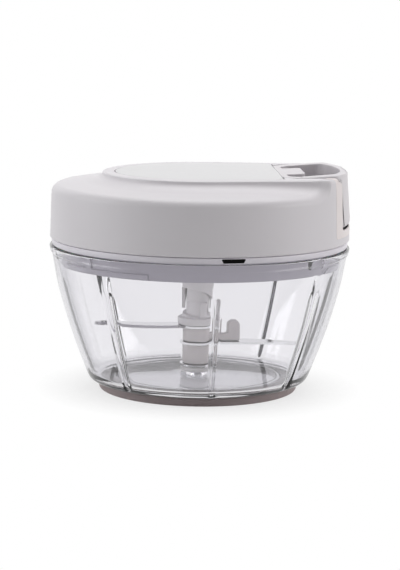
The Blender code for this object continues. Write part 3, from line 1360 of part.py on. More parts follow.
def main():
    clear_scene()
    build_bowl()
    build_foot()
    build_pin()
    build_tower()
    build_tower_foot()
    build_spacer("lower_spacer", LOWER_SPACER_Z, LOWER_SPACER_LENGTH, BOTTOM_BLADE_ANGLE)
    build_spacer("upper_spacer", UPPER_SPACER_Z, UPPER_SPACER_LENGTH, MIDDLE_BLADE_ANGLE)
    build_blade("blade_bottom", BOTTOM_BLADE_Z, SHORT_BLADE, BOTTOM_BLADE_ANGLE)
    build_blade("blade_middle", MIDDLE_BLADE_Z, LONG_BLADE, MIDDLE_BLADE_ANGLE)
    build_blade("blade_top", TOP_BLADE_Z, LONG_BLADE, TOP_BLADE_ANGLE)
    build_lid_base()
    build_gasket()
    build_cover()
    build_inlay()
    build_handle()
    build_ferrule()
    build_eyelet()
    build_winding()
    build_cord()
    build_spool()
    build_spool_cap()
    build_spring()
    build_axle()
    build_retainer()
    build_hub()
    build_pawl("pawl_front", PAWL_ANGLE)
    build_pawl("pawl_rear", PAWL_ANGLE + math.pi)
    build_bush()
    build_housing_screws()


main()
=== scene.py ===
"""Dressed scene of the pull-cord food chopper: fine surfaces, materials, light and the photograph's camera.

Units are metres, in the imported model's frame: +Z up, the handle along +X, the foot on the table at zero.
"""
from math import acos, asin, atan2, cos, hypot, pi, sin, sqrt, tan

import bmesh
import bpy
from mathutils import Matrix, Vector
from mathutils.bvhtree import BVHTree


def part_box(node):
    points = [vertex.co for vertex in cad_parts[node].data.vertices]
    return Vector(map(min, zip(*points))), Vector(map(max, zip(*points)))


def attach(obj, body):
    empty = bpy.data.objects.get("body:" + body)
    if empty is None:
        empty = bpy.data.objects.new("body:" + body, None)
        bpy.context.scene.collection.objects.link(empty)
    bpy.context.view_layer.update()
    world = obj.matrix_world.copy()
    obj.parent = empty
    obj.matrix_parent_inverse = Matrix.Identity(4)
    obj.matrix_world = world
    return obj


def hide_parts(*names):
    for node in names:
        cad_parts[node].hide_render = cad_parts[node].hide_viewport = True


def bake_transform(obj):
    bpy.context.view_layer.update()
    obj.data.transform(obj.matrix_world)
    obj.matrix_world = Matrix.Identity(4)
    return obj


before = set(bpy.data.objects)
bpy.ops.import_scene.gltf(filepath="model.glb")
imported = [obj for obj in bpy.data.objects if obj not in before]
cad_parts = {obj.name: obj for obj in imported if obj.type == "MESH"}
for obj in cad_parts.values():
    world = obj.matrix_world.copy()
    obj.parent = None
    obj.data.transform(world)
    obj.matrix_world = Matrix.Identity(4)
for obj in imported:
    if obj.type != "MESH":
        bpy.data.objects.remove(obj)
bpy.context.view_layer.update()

mm = 0.001
deg = pi / 180

# Gaps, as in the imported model
SEAT_GAP = 0.3 * mm
RUN_GAP = 0.4 * mm

# Camera: fitted to the photograph's lid and bowl ellipses
IMAGE_HEIGHT = 570
FOCAL_PIXELS = 1991.7
CAMERA_DISTANCE = 900 * mm
CAMERA_HEIGHT = 189.4 * mm
CAMERA_TURN = -3.0 * deg     # about the object, from straight in front
CAMERA_YAW = -0.03 * deg
CAMERA_PITCH = 8.99 * deg
CAMERA_ROLL = 0.85 * deg

# World and floor
WORLD_LEVEL = 0.14           # of its light on the object
FLOOR_HALF = 12.0
SHADOW_SHARE = 0.70          # of white in the middle of the shadow
SHADOW_START = 44 * mm
SHADOW_END = 75 * mm

# Roundness
FINE = 192
MIDDLE = 96
COARSE = 40


def corner(node, side):
    """Lowest (0) or highest (1) corner of a node's box."""
    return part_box(node)[side]


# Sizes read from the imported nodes
FOOT_RADIUS = corner("non_slip_foot", 1).x
FOOT_HEIGHT = corner("non_slip_foot", 1).z
RIM_HEIGHT = corner("bowl", 1).z
PIN_TOP = corner("bowl_pin", 1).z
PIN_RADIUS = corner("bowl_pin", 1).x
SKIRT_BOTTOM = corner("lid_base", 0).z
FLANGE_RADIUS = corner("lid_base", 1).y
GASKET_BOTTOM = corner("lid_gasket", 0).z
COVER_RADIUS = corner("lid_cover", 1).y
COVER_BOTTOM = corner("lid_cover", 0).z
INLAY_RADIUS = -corner("top_inlay", 0).x
HANDLE_BOTTOM = corner("pull_handle", 0).z
INNER_EDGE = corner("pull_handle", 0).x
STACK_Z = corner("blade_tower", 0).z
SPIGOT_TOP = corner("blade_tower", 1).z
COLLAR_RADIUS = corner("blade_tower", 1).x
HUB_RADIUS = corner("drive_hub", 1).x
AXLE_BOTTOM = corner("centre_axle", 0).z
BUSH_TOP = corner("hub_bush", 1).z

# Bowl
BOWL_WALL = 2.2 * mm
BOWL_FLOOR = 2.4 * mm
BEAD_PROUD = 0.6 * mm
BEAD_HEIGHT = 3.2 * mm
RIM_RADIUS = 67.6 * mm
RIM_FLARE = 0.12
HEEL_RISE = 3.2 * mm
HEEL_FLARE = 0.40
FOOT_INSET = 1.2 * mm
FOOT_WIDTH = 6.7 * mm
HEEL_REACH = 4.5 * mm
FLUTE_COUNT = 8
FLUTE_PITCH = 2 * pi / FLUTE_COUNT
FLUTE_PHASE = 4 * deg
FLUTE_HALF_ANGLE = 2.4 * deg
FLUTE_DROP = 14.5 * mm
FLUTE_FADE = 5.0 * mm
FLUTE_DEPTH = 0.9 * mm
RIDGE_HEIGHT = 1.5 * mm
LUG_ANGLES = (-41.8 * deg, -167.7 * deg, 78.2 * deg)
LUG_WIDTH = 9.3 * mm
LUG_HEIGHT = 4.0 * mm
LUG_ROUND = 1.95 * mm
LOCATING_RING = 2.3 * mm
LOCATING_DEPTH = 2.8 * mm
PIN_BOSS_RADIUS = 5.5 * mm
PIN_BOSS_HEIGHT = 1.4 * mm
PIN_SOCKET_FLOOR = 1.4 * mm
BASE_RADIUS = FOOT_RADIUS + FOOT_INSET
HEEL_RADIUS = BASE_RADIUS + HEEL_REACH
BASE_Z = FOOT_HEIGHT + SEAT_GAP
FLOOR_Z = BASE_Z + BOWL_FLOOR
FLUTE_TOP = RIM_HEIGHT - FLUTE_DROP

# Lid base
SKIRT_CLEARANCE = 2.5 * mm
SKIRT_WALL = 2.0 * mm
PLATE_DEPTH = 3.0 * mm
PLATE_THICKNESS = 2.0 * mm
FLANGE_LIP = 0.7 * mm
FLANGE_RISE = 3.0 * mm
GASKET_WIDTH = 2.0 * mm
GASKET_HEIGHT = 1.6 * mm
RIB_HEIGHT = 1.6 * mm
RIB_WIDTH = 1.2 * mm
BUSH_TUBE_WALL = 2.1 * mm
BUSH_FLANGE = 0.9 * mm
LEDGE_HEIGHT = 2.7 * mm
LEDGE_START = -34.6 * deg
LEDGE_SPAN = 47.6 * deg
LEDGE_RAMP = 4.7 * deg
LEDGE_LEAD = 1.7 * mm
LOCK_ANGLE = 20 * deg
STOP_SPAN = 3 * deg
SLOT_ANGLE = -80.4 * deg
SLOT_WIDTH = 10.9 * mm
SLOT_TAPER = 1.0 * mm
SKIRT_RADIUS = RIM_RADIUS - BOWL_WALL - SKIRT_CLEARANCE
PLATE_HEIGHT = RIM_HEIGHT - PLATE_DEPTH
PLATE_TOP = PLATE_HEIGHT + PLATE_THICKNESS
FLANGE_TOP = RIM_HEIGHT + FLANGE_RISE
LEDGE_TOP = SKIRT_BOTTOM + LEDGE_HEIGHT
LUG_LOW = LEDGE_TOP + RUN_GAP + 0.1 * mm
LUG_FACE = SKIRT_RADIUS + RUN_GAP

# Lid cover
COVER_WALL = 2.3 * mm
COVER_DRAFT = 0.028
COVER_EASE = 0.5 * mm
SHOULDER_RISE = 22.0 * mm
SHOULDER_RADIUS = 3.6 * mm
CROWN_RISE = 4.4 * mm
CROWN_FALL = 0.095
PLATEAU_INSET = 24.0 * mm
PLATEAU_RISE = 4.0 * mm
PLATEAU_SLOPE = 0.006
PLATEAU_TAPER = 6.3 * deg
STEP_EDGE = 0.5 * mm
STEP_ROUND = 2.0 * mm
STEP_FILLET = 8.5 * mm
STEP_SPLIT = 0.84
END_ROUND = 2.0 * mm
RECESS_ROUND = 0.4 * mm
INLAY_THICKNESS = 1.3 * mm
INLAY_CORNER = 3.5 * mm
ROOF_THICKNESS = 1.4 * mm
CENTRE_BOSS = 6.0 * mm
BOSS_RADIUS = 4.0 * mm
BOSS_INSET = 17.0 * mm
BOSS_ANGLES = (75 * deg, 135 * deg, -135 * deg, -75 * deg)
TAPER_RISE = cos(PLATEAU_TAPER)
TAPER_LEAN = sin(PLATEAU_TAPER)
SHOULDER_HEIGHT = FLANGE_TOP + SHOULDER_RISE
CROWN_HEIGHT = SHOULDER_HEIGHT + CROWN_RISE
PLATEAU_TOP = CROWN_HEIGHT + PLATEAU_RISE
PLATEAU_RADIUS = COVER_RADIUS - PLATEAU_INSET
BOSS_CIRCLE = COVER_RADIUS - BOSS_INSET

# Pocket and handle
POCKET_CORNER = 9.0 * mm
POCKET_WALL = 2.0 * mm
POCKET_SILL = 6.9 * mm
POCKET_ROUND = 1.5 * mm
WING_MARGIN = 12.7 * mm
WING_FLARE = 4.0 * mm
WING_DEPTH = 4.6 * mm
WING_RIM = 0.8 * mm
FACE_PROUD = 0.1 * mm
FACE_LEAN = 1.6 * mm
HANDLE_RISE = 1.2 * mm
LIP_HEIGHT = 3.3 * mm
LIP_WIDTH = 7.0 * mm
LIP_PROUD = 0.15 * mm
LIP_REACH = 2.5 * mm
MOUTH_EASE = 0.25 * mm
HANDLE_ROUND = 2.0 * mm
GRIP_THICKNESS = 3.6 * mm
ARM_LIFT = 7.0 * mm
GRIP_FOOT = 4.0 * mm
INNER_BAR = 3.0 * mm
ARM_THICKNESS = 1.9 * mm
TONGUE_HALF = 13.0 * mm
TONGUE_REACH = 8.7 * mm
TONGUE_DEPTH = 14.0 * mm
TONGUE_CORNER = 2.6 * mm
RIM_EASE = 12 * mm
POCKET_INNER = INNER_EDGE - RUN_GAP
POCKET_FLOOR = COVER_BOTTOM + POCKET_SILL
WING_HALF = PLATEAU_RADIUS - WING_MARGIN
POCKET_HALF = WING_HALF - WING_FLARE
WING_LOW = PLATEAU_TOP - WING_DEPTH
WING_HIGH = PLATEAU_TOP - WING_RIM
FACE_LOW = COVER_RADIUS + FACE_PROUD
FACE_HIGH = FACE_LOW - FACE_LEAN
OPENING_HALF = POCKET_HALF - RUN_GAP - ARM_THICKNESS
CORD_DROP = 9.5 * mm
CORD_HEIGHT = PLATEAU_TOP - CORD_DROP
CORD_RADIUS = 0.8 * mm
FERRULE_RADIUS = 2.0 * mm
FERRULE_LENGTH = 3.8 * mm
FERRULE_X = INNER_EDGE + INNER_BAR + 2.0 * mm
CORD_ORBIT = 20.7 * mm
CORD_TURNS = 2.4
CORD_PITCH = 2.2 * mm
CORD_BEND = 1.9 * mm
CORD_CORNER = POCKET_INNER - 5.4 * mm

# Tower and blades
CORE_RADIUS = 5.2 * mm
COLUMN_RADIUS = 7.2 * mm
SPIGOT_RADIUS = 5.5 * mm
DOG_RADIUS = 7.4 * mm
COLLAR_HEIGHT = 3.4 * mm
DOG_HEIGHT = 7.2 * mm
SPIGOT_LENGTH = 21.0 * mm
DOG_START = -89 * deg
DOG_SPAN = 38 * deg
DOG_RAMP = 2.5 * mm
CARRIER_REACH = 19.0 * mm
CARRIER_WIDTH = 5.0 * mm
CARRIER_THICKNESS = 3.0 * mm
FINGER_WIDTH = 5.5 * mm
BLADE_THICKNESS = 1.0 * mm
BLADE_EYE = 8.4 * mm
BLADE_TIP_GAP = 6.3 * mm
BLADE_SWEEP = 9.0 * mm
BLADE_BEVEL = 2.2 * mm
BLADE_TIP_SLANT = 2.0 * mm
BLADE_BELLY = 2.5 * mm
BLADE_ANGLE = 3 * deg
CROSS_ANGLE = 93 * deg
STACK_BORE = CORE_RADIUS + SEAT_GAP
DOG_Z = SPIGOT_TOP - SPIGOT_LENGTH
COLLAR_Z = DOG_Z - COLLAR_HEIGHT

# Hub
HUB_BORE = SPIGOT_RADIUS + 0.6 * mm
SLEEVE_RADIUS = HUB_BORE + 1.5 * mm
HUB_SHAFT = SLEEVE_RADIUS + 3.2 * mm
HUB_SHAFT_DROP = 2.4 * mm
SLEEVE_EDGE_LOW = DOG_Z + 2.8 * mm
SLEEVE_EDGE_HIGH = SLEEVE_EDGE_LOW + 10.7 * mm
SLEEVE_RAMP_SPAN = 150 * deg
SLEEVE_RAMP_START = -153 * deg
CUP_WALL = 1.5 * mm
BUSH_WALL = 1.5 * mm
WASHER_BORE = 1.6 * mm

# Screws and eyelet
SCREW_HEAD = 3.0 * mm
SCREW_SHANK = 1.5 * mm
SCREW_BORE = 1.8 * mm
SCREW_HOLE = 1.9 * mm
SCREW_POINT = 1.0 * mm
EYELET_HOLE = 2.9 * mm
EYELET_FLANGE = 3.8 * mm
EYELET_BODY = 2.6 * mm
EYELET_MOUTH = 1.9 * mm
EYELET_BORE = 1.3 * mm
EYELET_ROUND = 1.2 * mm


# Shapes

def add_object(name, data):
    obj = bpy.data.objects.new(name, data)
    bpy.context.scene.collection.objects.link(obj)
    return obj


def shade(obj, angle):
    """Smooth shading, with the edges past an angle kept sharp."""
    obj.data.shade_smooth()
    obj.data.set_sharp_from_angle(angle=angle)
    return obj


def mesh_object(bm):
    bmesh.ops.recalc_face_normals(bm, faces=bm.faces)
    mesh = bpy.data.meshes.new("shape")
    bm.to_mesh(mesh)
    bm.free()
    return shade(add_object("shape", mesh), 35 * deg)


def loft(rings, closed=False):
    """Bridge rings of points of one length, and cap the ends unless the loft closes on itself."""
    bm = bmesh.new()
    rows = [[bm.verts.new(point) for point in ring] for ring in rings]
    for first, second in zip(rows, rows[1:] + rows[:1] if closed else rows[1:]):
        for i in range(len(first)):
            j = (i + 1) % len(first)
            bm.faces.new((first[i], first[j], second[j], second[i]))
    if not closed:
        bm.faces.new(rows[0])
        bm.faces.new(rows[-1])
    return mesh_object(bm)


def polar(radius, angle, z=0.0):
    return (radius * cos(angle), radius * sin(angle), z)


def revolve(profile, segments=FINE):
    """Turn a closed outline of (radius, height) points about Z."""
    bm = bmesh.new()
    poles = {i: bm.verts.new((0, 0, z)) for i, (r, z) in enumerate(profile) if r < 1e-9}
    columns = []
    for k in range(segments):
        angle = 2 * pi * k / segments
        columns.append([poles.get(i) or bm.verts.new(polar(r, angle, z)) for i, (r, z) in enumerate(profile)])
    for k in range(segments):
        here, there = columns[k], columns[(k + 1) % segments]
        for i in range(len(profile)):
            j = (i + 1) % len(profile)
            corners = []
            for vertex in (here[i], there[i], there[j], here[j]):
                if vertex not in corners:
                    corners.append(vertex)
            if len(corners) > 2:
                bm.faces.new(corners)
    return mesh_object(bm)


def prism(outline, low, high, axis='Z'):
    """Extrude an outline: (x, y) points along Z, (y, z) along X, (x, z) along Y."""
    places = {
        'X': lambda a, b, c: (c, a, b),
        'Y': lambda a, b, c: (a, c, b),
        'Z': lambda a, b, c: (a, b, c),
    }
    return loft([[places[axis](a, b, c) for a, b in outline] for c in (low, high)])


def cylinder(radius, low, high, segments=COARSE):
    return prism(arc((0, 0), radius, 0, 2 * pi, segments)[:-1], low, high)


def wavy_ring(inner, outer, low, high, steps):
    """A ring whose underside and top follow two functions of the angle."""
    return loft([[polar(r, angle, edge(angle)) for r, edge in
                  ((inner, low), (outer, low), (outer, high), (inner, high))] for angle in steps],
                closed=True)


def spread(start, end, steps):
    """Values at even steps from start to end, with both."""
    return [start + (end - start) * k / steps for k in range(steps + 1)]


def arc(centre, radius, start, end, steps):
    return [(centre[0] + radius * cos(angle), centre[1] + radius * sin(angle))
            for angle in spread(start, end, steps)]


def mirrored(points):
    """Points and their mirror images across the first axis, in one closed outline's order."""
    return points + [(x, -y, *rest) for x, y, *rest in reversed(points)]


def stepped(*steps):
    """A closed outline of level and upright lines, from a radius, a height, the next radius and so on."""
    radii, heights = steps[::2], steps[1::2]
    points = []
    for i, height in enumerate(heights):
        points += [(radii[i], height), (radii[(i + 1) % len(radii)], height)]
    return points


def curved(start, middle, end, t):
    """A value on the way from start to end, drawn aside by the middle one."""
    return start * (1 - t) ** 2 + middle * 2 * t * (1 - t) + end * t ** 2


def rounded(corners, steps=6):
    """An outline from (x, y, radius) corners, each rounded as far as its sides allow."""
    points = []
    count = len(corners)
    for i, (x, y, radius) in enumerate(corners):
        here = Vector((x, y))
        before = Vector(corners[i - 1][:2]) - here
        after = Vector(corners[(i + 1) % count][:2]) - here
        room = 0.45 * min(before.length, after.length)
        before.normalize()
        after.normalize()
        half = before.angle(after) / 2
        radius = min(radius, room * tan(half))
        if radius < 1e-7 or half > pi / 2 - 0.01:
            points.append((x, y))
            continue
        centre = here + (before + after).normalized() * (radius / sin(half))
        start = here + before * (radius / tan(half)) - centre
        end = here + after * (radius / tan(half)) - centre
        turn = start.angle_signed(end)
        for k in range(steps + 1):
            spoke = start.copy()
            spoke.rotate(Matrix.Rotation(-turn * k / steps, 2))
            points.append(tuple(centre + spoke))
    return points


def turned(ease, *outline, segments=MIDDLE, steps=3):
    """A stepped outline turned about Z. All its corners off the axis are rounded by one small radius."""
    return revolve(rounded([(r, z, 0 if r < 1e-9 else ease) for r, z in stepped(*outline)], steps), segments)


def moved(obj, angle=0.0, place=(0, 0, 0)):
    obj.data.transform(Matrix.Translation(place) @ Matrix.Rotation(angle, 4, 'Z'))
    return obj


def along_x(obj):
    """Lay a shape turned about Z along X at the cord's height."""
    obj.data.transform(Matrix.Translation((0, 0, CORD_HEIGHT)) @ Matrix.Rotation(pi / 2, 4, 'Y'))
    return obj


def bake(obj):
    """Make the modifiers' result the object's own mesh."""
    graph = bpy.context.evaluated_depsgraph_get()
    result = bpy.data.meshes.new_from_object(obj.evaluated_get(graph), depsgraph=graph)
    obj.modifiers.clear()
    obj.data = result
    return obj


def combine(target, operation, *others):
    """Apply a Boolean with others that don't touch each other."""
    if len(others) > 1:
        bm = bmesh.new()
        for other in others:
            bm.from_mesh(other.data)
        tool = mesh_object(bm)
        for other in others:
            bpy.data.objects.remove(other)
    else:
        tool = others[0]
    modifier = target.modifiers.new("boolean", 'BOOLEAN')
    modifier.object = tool
    modifier.operation = operation
    modifier.solver = 'EXACT'
    bake(target)
    bpy.data.objects.remove(tool)
    return target


def cut(target, *others):
    return combine(target, 'DIFFERENCE', *others)


def join(target, *others):
    return combine(target, 'UNION', *others)


def keep_inside(target, other):
    return combine(target, 'INTERSECT', other)


def bevel_edges(obj, width, angle=38 * deg, segments=2, share=None):
    """Break the sharp edges that Booleans leave. A share can narrow the width of an edge, or leave it out."""
    bm = bmesh.new()
    bm.from_mesh(obj.data)
    bmesh.ops.remove_doubles(bm, verts=bm.verts, dist=0.04 * mm)
    bmesh.ops.dissolve_degenerate(bm, edges=bm.edges, dist=0.02 * mm)
    weight = bm.edges.layers.float.new("bevel_weight_edge")
    for edge in bm.edges:
        if len(edge.link_faces) == 2 and edge.calc_face_angle() > angle:
            edge[weight] = share(edge) if share else 1
    bm.to_mesh(obj.data)
    bm.free()
    modifier = obj.modifiers.new("edges", 'BEVEL')
    modifier.width = width
    modifier.segments = segments
    modifier.limit_method = 'WEIGHT'
    modifier.use_clamp_overlap = False
    shade(bake(obj), 50 * deg)
    weighted = obj.modifiers.new("normals", 'WEIGHTED_NORMAL')
    weighted.keep_sharp = True
    return bake(obj)


def skin_of(obj):
    """A test of whether an edge lies on a shape's surface as it is now."""
    tree = BVHTree.FromObject(obj, bpy.context.evaluated_depsgraph_get())

    def on_skin(edge):
        return all(tree.find_nearest(vertex.co)[3] < 0.05 * mm for vertex in edge.verts)

    return on_skin


# Materials

class Graph:
    """The shader nodes of a material or of the world."""

    def __init__(self, owner):
        owner.use_nodes = True
        self.nodes = owner.node_tree.nodes
        self.links = owner.node_tree.links

    def feed(self, node, **inputs):
        """Set inputs by name, with _ for a space: each is a value, or the socket of another node."""
        for name, value in inputs.items():
            entry = node.inputs[name.replace("_", " ")]
            if isinstance(value, bpy.types.NodeSocket):
                self.links.new(value, entry)
            else:
                entry.default_value = value
        return node

    def add(self, kind, **inputs):
        return self.feed(self.nodes.new("ShaderNode" + kind), **inputs)

    def math(self, operation, first, second):
        node = self.add("Math")
        node.operation = operation
        self.links.new(first, node.inputs[0])
        self.links.new(second, node.inputs[1])
        return node.outputs[0]

    def noise(self, scale, detail=2.0, stretch=(1, 1, 1)):
        """Noise in the object's own metres, so that its size is the same on each piece."""
        place = self.add("Mapping", Vector=self.add("TexCoord").outputs["Object"], Scale=stretch)
        return self.add("TexNoise", Vector=place.outputs["Vector"], Scale=scale, Detail=detail).outputs["Fac"]

    def vary(self, source, low, high, start=0.3, end=0.7):
        """A number that goes between two values as its source goes from start to end."""
        span = self.add("MapRange", Value=source, From_Min=start, From_Max=end, To_Min=low, To_Max=high)
        return span.outputs["Result"]

    def tint(self, source, first, second):
        mix = self.nodes.new("ShaderNodeMix")
        mix.data_type = 'RGBA'
        return self.feed(mix, Factor=source, A=(*first, 1), B=(*second, 1)).outputs["Result"]

    def bump(self, source, distance, strength):
        return self.add("Bump", Height=source, Distance=distance, Strength=strength).outputs["Normal"]


def shader_of(name):
    material = bpy.data.materials.new(name)
    graph = Graph(material)
    return material, graph, graph.nodes["Principled BSDF"]


def surface(name, colours, colour_noise, gloss, gloss_noise, relief, relief_noise, **inputs):
    """A material whose colour, roughness and relief each follow a noise of some scale, detail and stretch."""
    material, graph, shader = shader_of(name)
    graph.feed(shader, Base_Color=graph.tint(graph.noise(*colour_noise), *colours),
               Roughness=graph.vary(graph.noise(*gloss_noise), *gloss),
               Normal=graph.bump(graph.noise(*relief_noise), *relief), **inputs)
    return material


def toned(colour, factor):
    return [min(1, c * factor) for c in colour]


def moulded(name, colour, roughness, grain=3200, depth=0.012 * mm, specular=0.45):
    """Moulded plastic: a fine spark-eroded grain, with a slow drift of colour and gloss."""
    return surface(name, (toned(colour, 0.98), toned(colour, 1.02)), (28,),
                   (roughness - 0.04, roughness + 0.04), (420, 3), (depth, 0.5), (grain, 3),
                   Specular_IOR_Level=specular)


def clear_plastic():
    """Clear styrene: glossy, greyer where it is seen edge-on, with a moulding's faint flow ripple."""
    material, graph, shader = shader_of("clear_bowl_plastic")
    slant = graph.vary(graph.add("LayerWeight", Blend=0.5).outputs["Facing"], 0, 1, 0.5, 0.95)
    graph.feed(shader, Base_Color=graph.tint(slant, (0.905, 0.90, 0.92), (0.36, 0.35, 0.41)), Roughness=0.02,
               IOR=1.49, Transmission_Weight=1.0, Normal=graph.bump(graph.noise(45, 1), 0.03 * mm, 0.35))
    return material


def steel(name, roughness, stretch=(1, 1, 1), grain=1800, colour=(0.74, 0.74, 0.75)):
    """Ground, turned or drawn metal, with fine lines."""
    lines = (grain, 4, stretch)
    return surface(name, (toned(colour, 0.9), colour), lines, (roughness - 0.06, roughness + 0.08), lines,
                   (0.01 * mm, 0.4), lines, Metallic=1.0)


def rubber(name, colour):
    return surface(name, (toned(colour, 0.94), colour), (60,), (0.55, 0.72), (2400, 4),
                   (0.02 * mm, 0.5), (2400, 4), Specular_IOR_Level=0.35)


def waxy(name, colour, scatter):
    """Nylon and silicone: some light goes in and comes out again."""
    return surface(name, (toned(colour, 0.97), colour), (50,), (0.38, 0.5), (700, 3),
                   (0.01 * mm, 0.4), (2600, 3), Subsurface_Weight=scatter, Subsurface_Scale=1.5 * mm)


def braid(name, colour):
    """Braided cord: two sets of strands that cross, as raised bands."""
    material, graph, shader = shader_of(name)
    place = graph.add("TexCoord").outputs["Object"]
    waves = []
    for slant in (50 * deg, -50 * deg):
        turned = graph.add("Mapping", Vector=place, Rotation=(slant, slant, slant))
        waves.append(graph.add("TexWave", Vector=turned.outputs["Vector"], Scale=700).outputs["Fac"])
    strands = graph.math('MAXIMUM', *waves)
    graph.feed(shader, Base_Color=graph.tint(strands, toned(colour, 0.6), colour), Roughness=0.85,
               Sheen_Weight=0.3, Normal=graph.bump(strands, 0.12 * mm, 0.8))
    return material


COVER_GREY = moulded("cover_satin_plastic", (0.755, 0.728, 0.757), 0.42)
# Painted highlight: a paler, warmer grey for the lip round the pocket, standing in for the bright light along
# its edge
LIP_PAINTED_HIGHLIGHT = moulded("lip_painted_highlight_plastic", (0.87, 0.805, 0.80), 0.40)
INLAY_GREY = moulded("inlay_satin_plastic", (0.745, 0.74, 0.75), 0.32, 2600, 0.008 * mm, specular=0.2)
HANDLE_GREY = moulded("handle_satin_plastic", (0.72, 0.69, 0.715), 0.42)
BASE_GREY = moulded("base_satin_plastic", (0.83, 0.80, 0.86), 0.36)
# Painted shade: a darker, bluer copy of the base's grey for the skirt, which lies in shade under the flange
# and behind the bowl's wall
SKIRT_PAINTED_SHADE = moulded("skirt_painted_shade_plastic", (0.51, 0.485, 0.55), 0.36)
TOWER_GREY = moulded("tower_plastic", (0.83, 0.81, 0.81), 0.36)
SPACER_GREY = moulded("spacer_plastic", (0.78, 0.74, 0.735), 0.40)
FOOT_GREY = rubber("foot_soft_grip", (0.385, 0.32, 0.32))
# Painted shade: near black for the inside of the flange's slot, standing in for the shadow of a deep opening
SLOT_PAINTED_SHADE = moulded("slot_painted_shade", (0.006, 0.006, 0.006), 0.7, specular=0.05)
CLEAR = clear_plastic()
BLADE_STEEL = steel("ground_blade_steel", 0.16, (1, 1, 1), 900, (0.84, 0.84, 0.85))
TURNED_STEEL = steel("turned_steel", 0.25, (1, 1, 8))
SPRING_STEEL = steel("spring_steel", 0.3, (1, 1, 6))
NYLON = waxy("natural_nylon", (0.82, 0.80, 0.74), 0.15)
SILICONE = waxy("seal_silicone", (0.80, 0.81, 0.80), 0.3)
CORD_WEAVE = braid("cord_braid", (0.78, 0.77, 0.74))
BRASS = steel("ferrule_brass", 0.3, colour=(0.80, 0.62, 0.33))


def coat(obj, material):
    obj.data.materials.clear()
    obj.data.materials.append(material)


def piece(obj, name, body, material, slot, *nodes):
    """Name a finished shape, dress it, and let it ride in place of its nodes."""
    obj.name = name
    coat(obj, material)
    if body:
        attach(obj, body)
    if nodes:
        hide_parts(*nodes)


def paint(obj, material, test):
    """Give the faces whose centres pass a test one more material."""
    obj.data.materials.append(material)
    for face in obj.data.polygons:
        if test(face.center):
            face.material_index = len(obj.data.materials) - 1


# Bowl, foot and pin

def bowl_radius(z):
    """Outer radius of the bowl's wall between its heel and its rim."""
    low = BASE_Z + HEEL_RISE
    span = RIM_HEIGHT - low
    t = (z - low) / span
    return ((2 * t ** 3 - 3 * t ** 2 + 1) * HEEL_RADIUS + (t ** 3 - 2 * t ** 2 + t) * span * HEEL_FLARE
            + (3 * t ** 2 - 2 * t ** 3) * RIM_RADIUS + (t ** 3 - t ** 2) * span * RIM_FLARE)


def flute_across(angle):
    offset = (angle - FLUTE_PHASE + FLUTE_PITCH / 2) % FLUTE_PITCH - FLUTE_PITCH / 2
    if abs(offset) >= FLUTE_HALF_ANGLE:
        return 0
    return cos(pi / 2 * offset / FLUTE_HALF_ANGLE) ** 2


def flute_along(z):
    top = min(1, max(0, (FLUTE_TOP - z) / FLUTE_FADE))
    foot = min(1, max(0, (z - BASE_Z) / HEEL_RISE))
    return sqrt(top * (2 - top)) * foot


def bowl_angles():
    """Columns close together across each flute and wider between."""
    offsets = spread(-FLUTE_HALF_ANGLE, FLUTE_HALF_ANGLE, 12)
    offsets += spread(FLUTE_HALF_ANGLE, FLUTE_PITCH - FLUTE_HALF_ANGLE, 18)[1:-1]
    return [FLUTE_PHASE + FLUTE_PITCH * n + offset for n in range(FLUTE_COUNT) for offset in offsets]


def bowl_profile():
    """Rows of (radius, height, flute depth) from the base up, over the rim and back in."""
    heel_top = BASE_Z + HEEL_RISE
    fade_low = FLUTE_TOP - FLUTE_FADE
    bead_low = RIM_HEIGHT - BEAD_HEIGHT
    heel_fall = HEEL_FLARE * HEEL_RISE
    rows = [(BASE_RADIUS - 1.5 * mm, BASE_Z, 0), (BASE_RADIUS, BASE_Z, 0)]
    for t in (0.2, 0.4, 0.6, 0.8):
        radius = curved(BASE_RADIUS, HEEL_RADIUS - heel_fall, HEEL_RADIUS, t)
        rows.append((radius, BASE_Z + HEEL_RISE * t ** 2, FLUTE_DEPTH))
    heights = spread(heel_top, fade_low, 14) + spread(fade_low, FLUTE_TOP, 6)[1:] + [bead_low - 0.4 * mm]
    rows += [(bowl_radius(z), z, FLUTE_DEPTH) for z in heights]
    for t in (0.2, 0.5, 0.8, 1):
        z = bead_low + BEAD_PROUD * (2 * t - 1)
        rows.append((bowl_radius(z) + BEAD_PROUD * t * t * (3 - 2 * t), z, 0))
    inner_edge = RIM_RADIUS - BOWL_WALL + BEAD_PROUD
    for centre, start in ((RIM_RADIUS, 0), (inner_edge, pi / 2)):
        rim = arc((centre, RIM_HEIGHT - BEAD_PROUD), BEAD_PROUD, start, start + pi / 2, 4)
        rows += [(r, z, 0) for r, z in rim]
    inner_low = FLOOR_Z + HEEL_RISE
    heights = [bead_low] + spread(FLUTE_TOP, fade_low, 6) + spread(fade_low, inner_low, 14)[1:]
    rows += [(bowl_radius(z) - BOWL_WALL, z, RIDGE_HEIGHT) for z in heights]
    heel = bowl_radius(inner_low) - BOWL_WALL
    for t in (0.25, 0.5, 0.75, 1):
        radius = curved(heel, heel - heel_fall, heel - HEEL_RISE * 1.4, t)
        rows.append((radius, FLOOR_Z + HEEL_RISE * (1 - t) ** 2, RIDGE_HEIGHT * (1 - t)))
    return rows


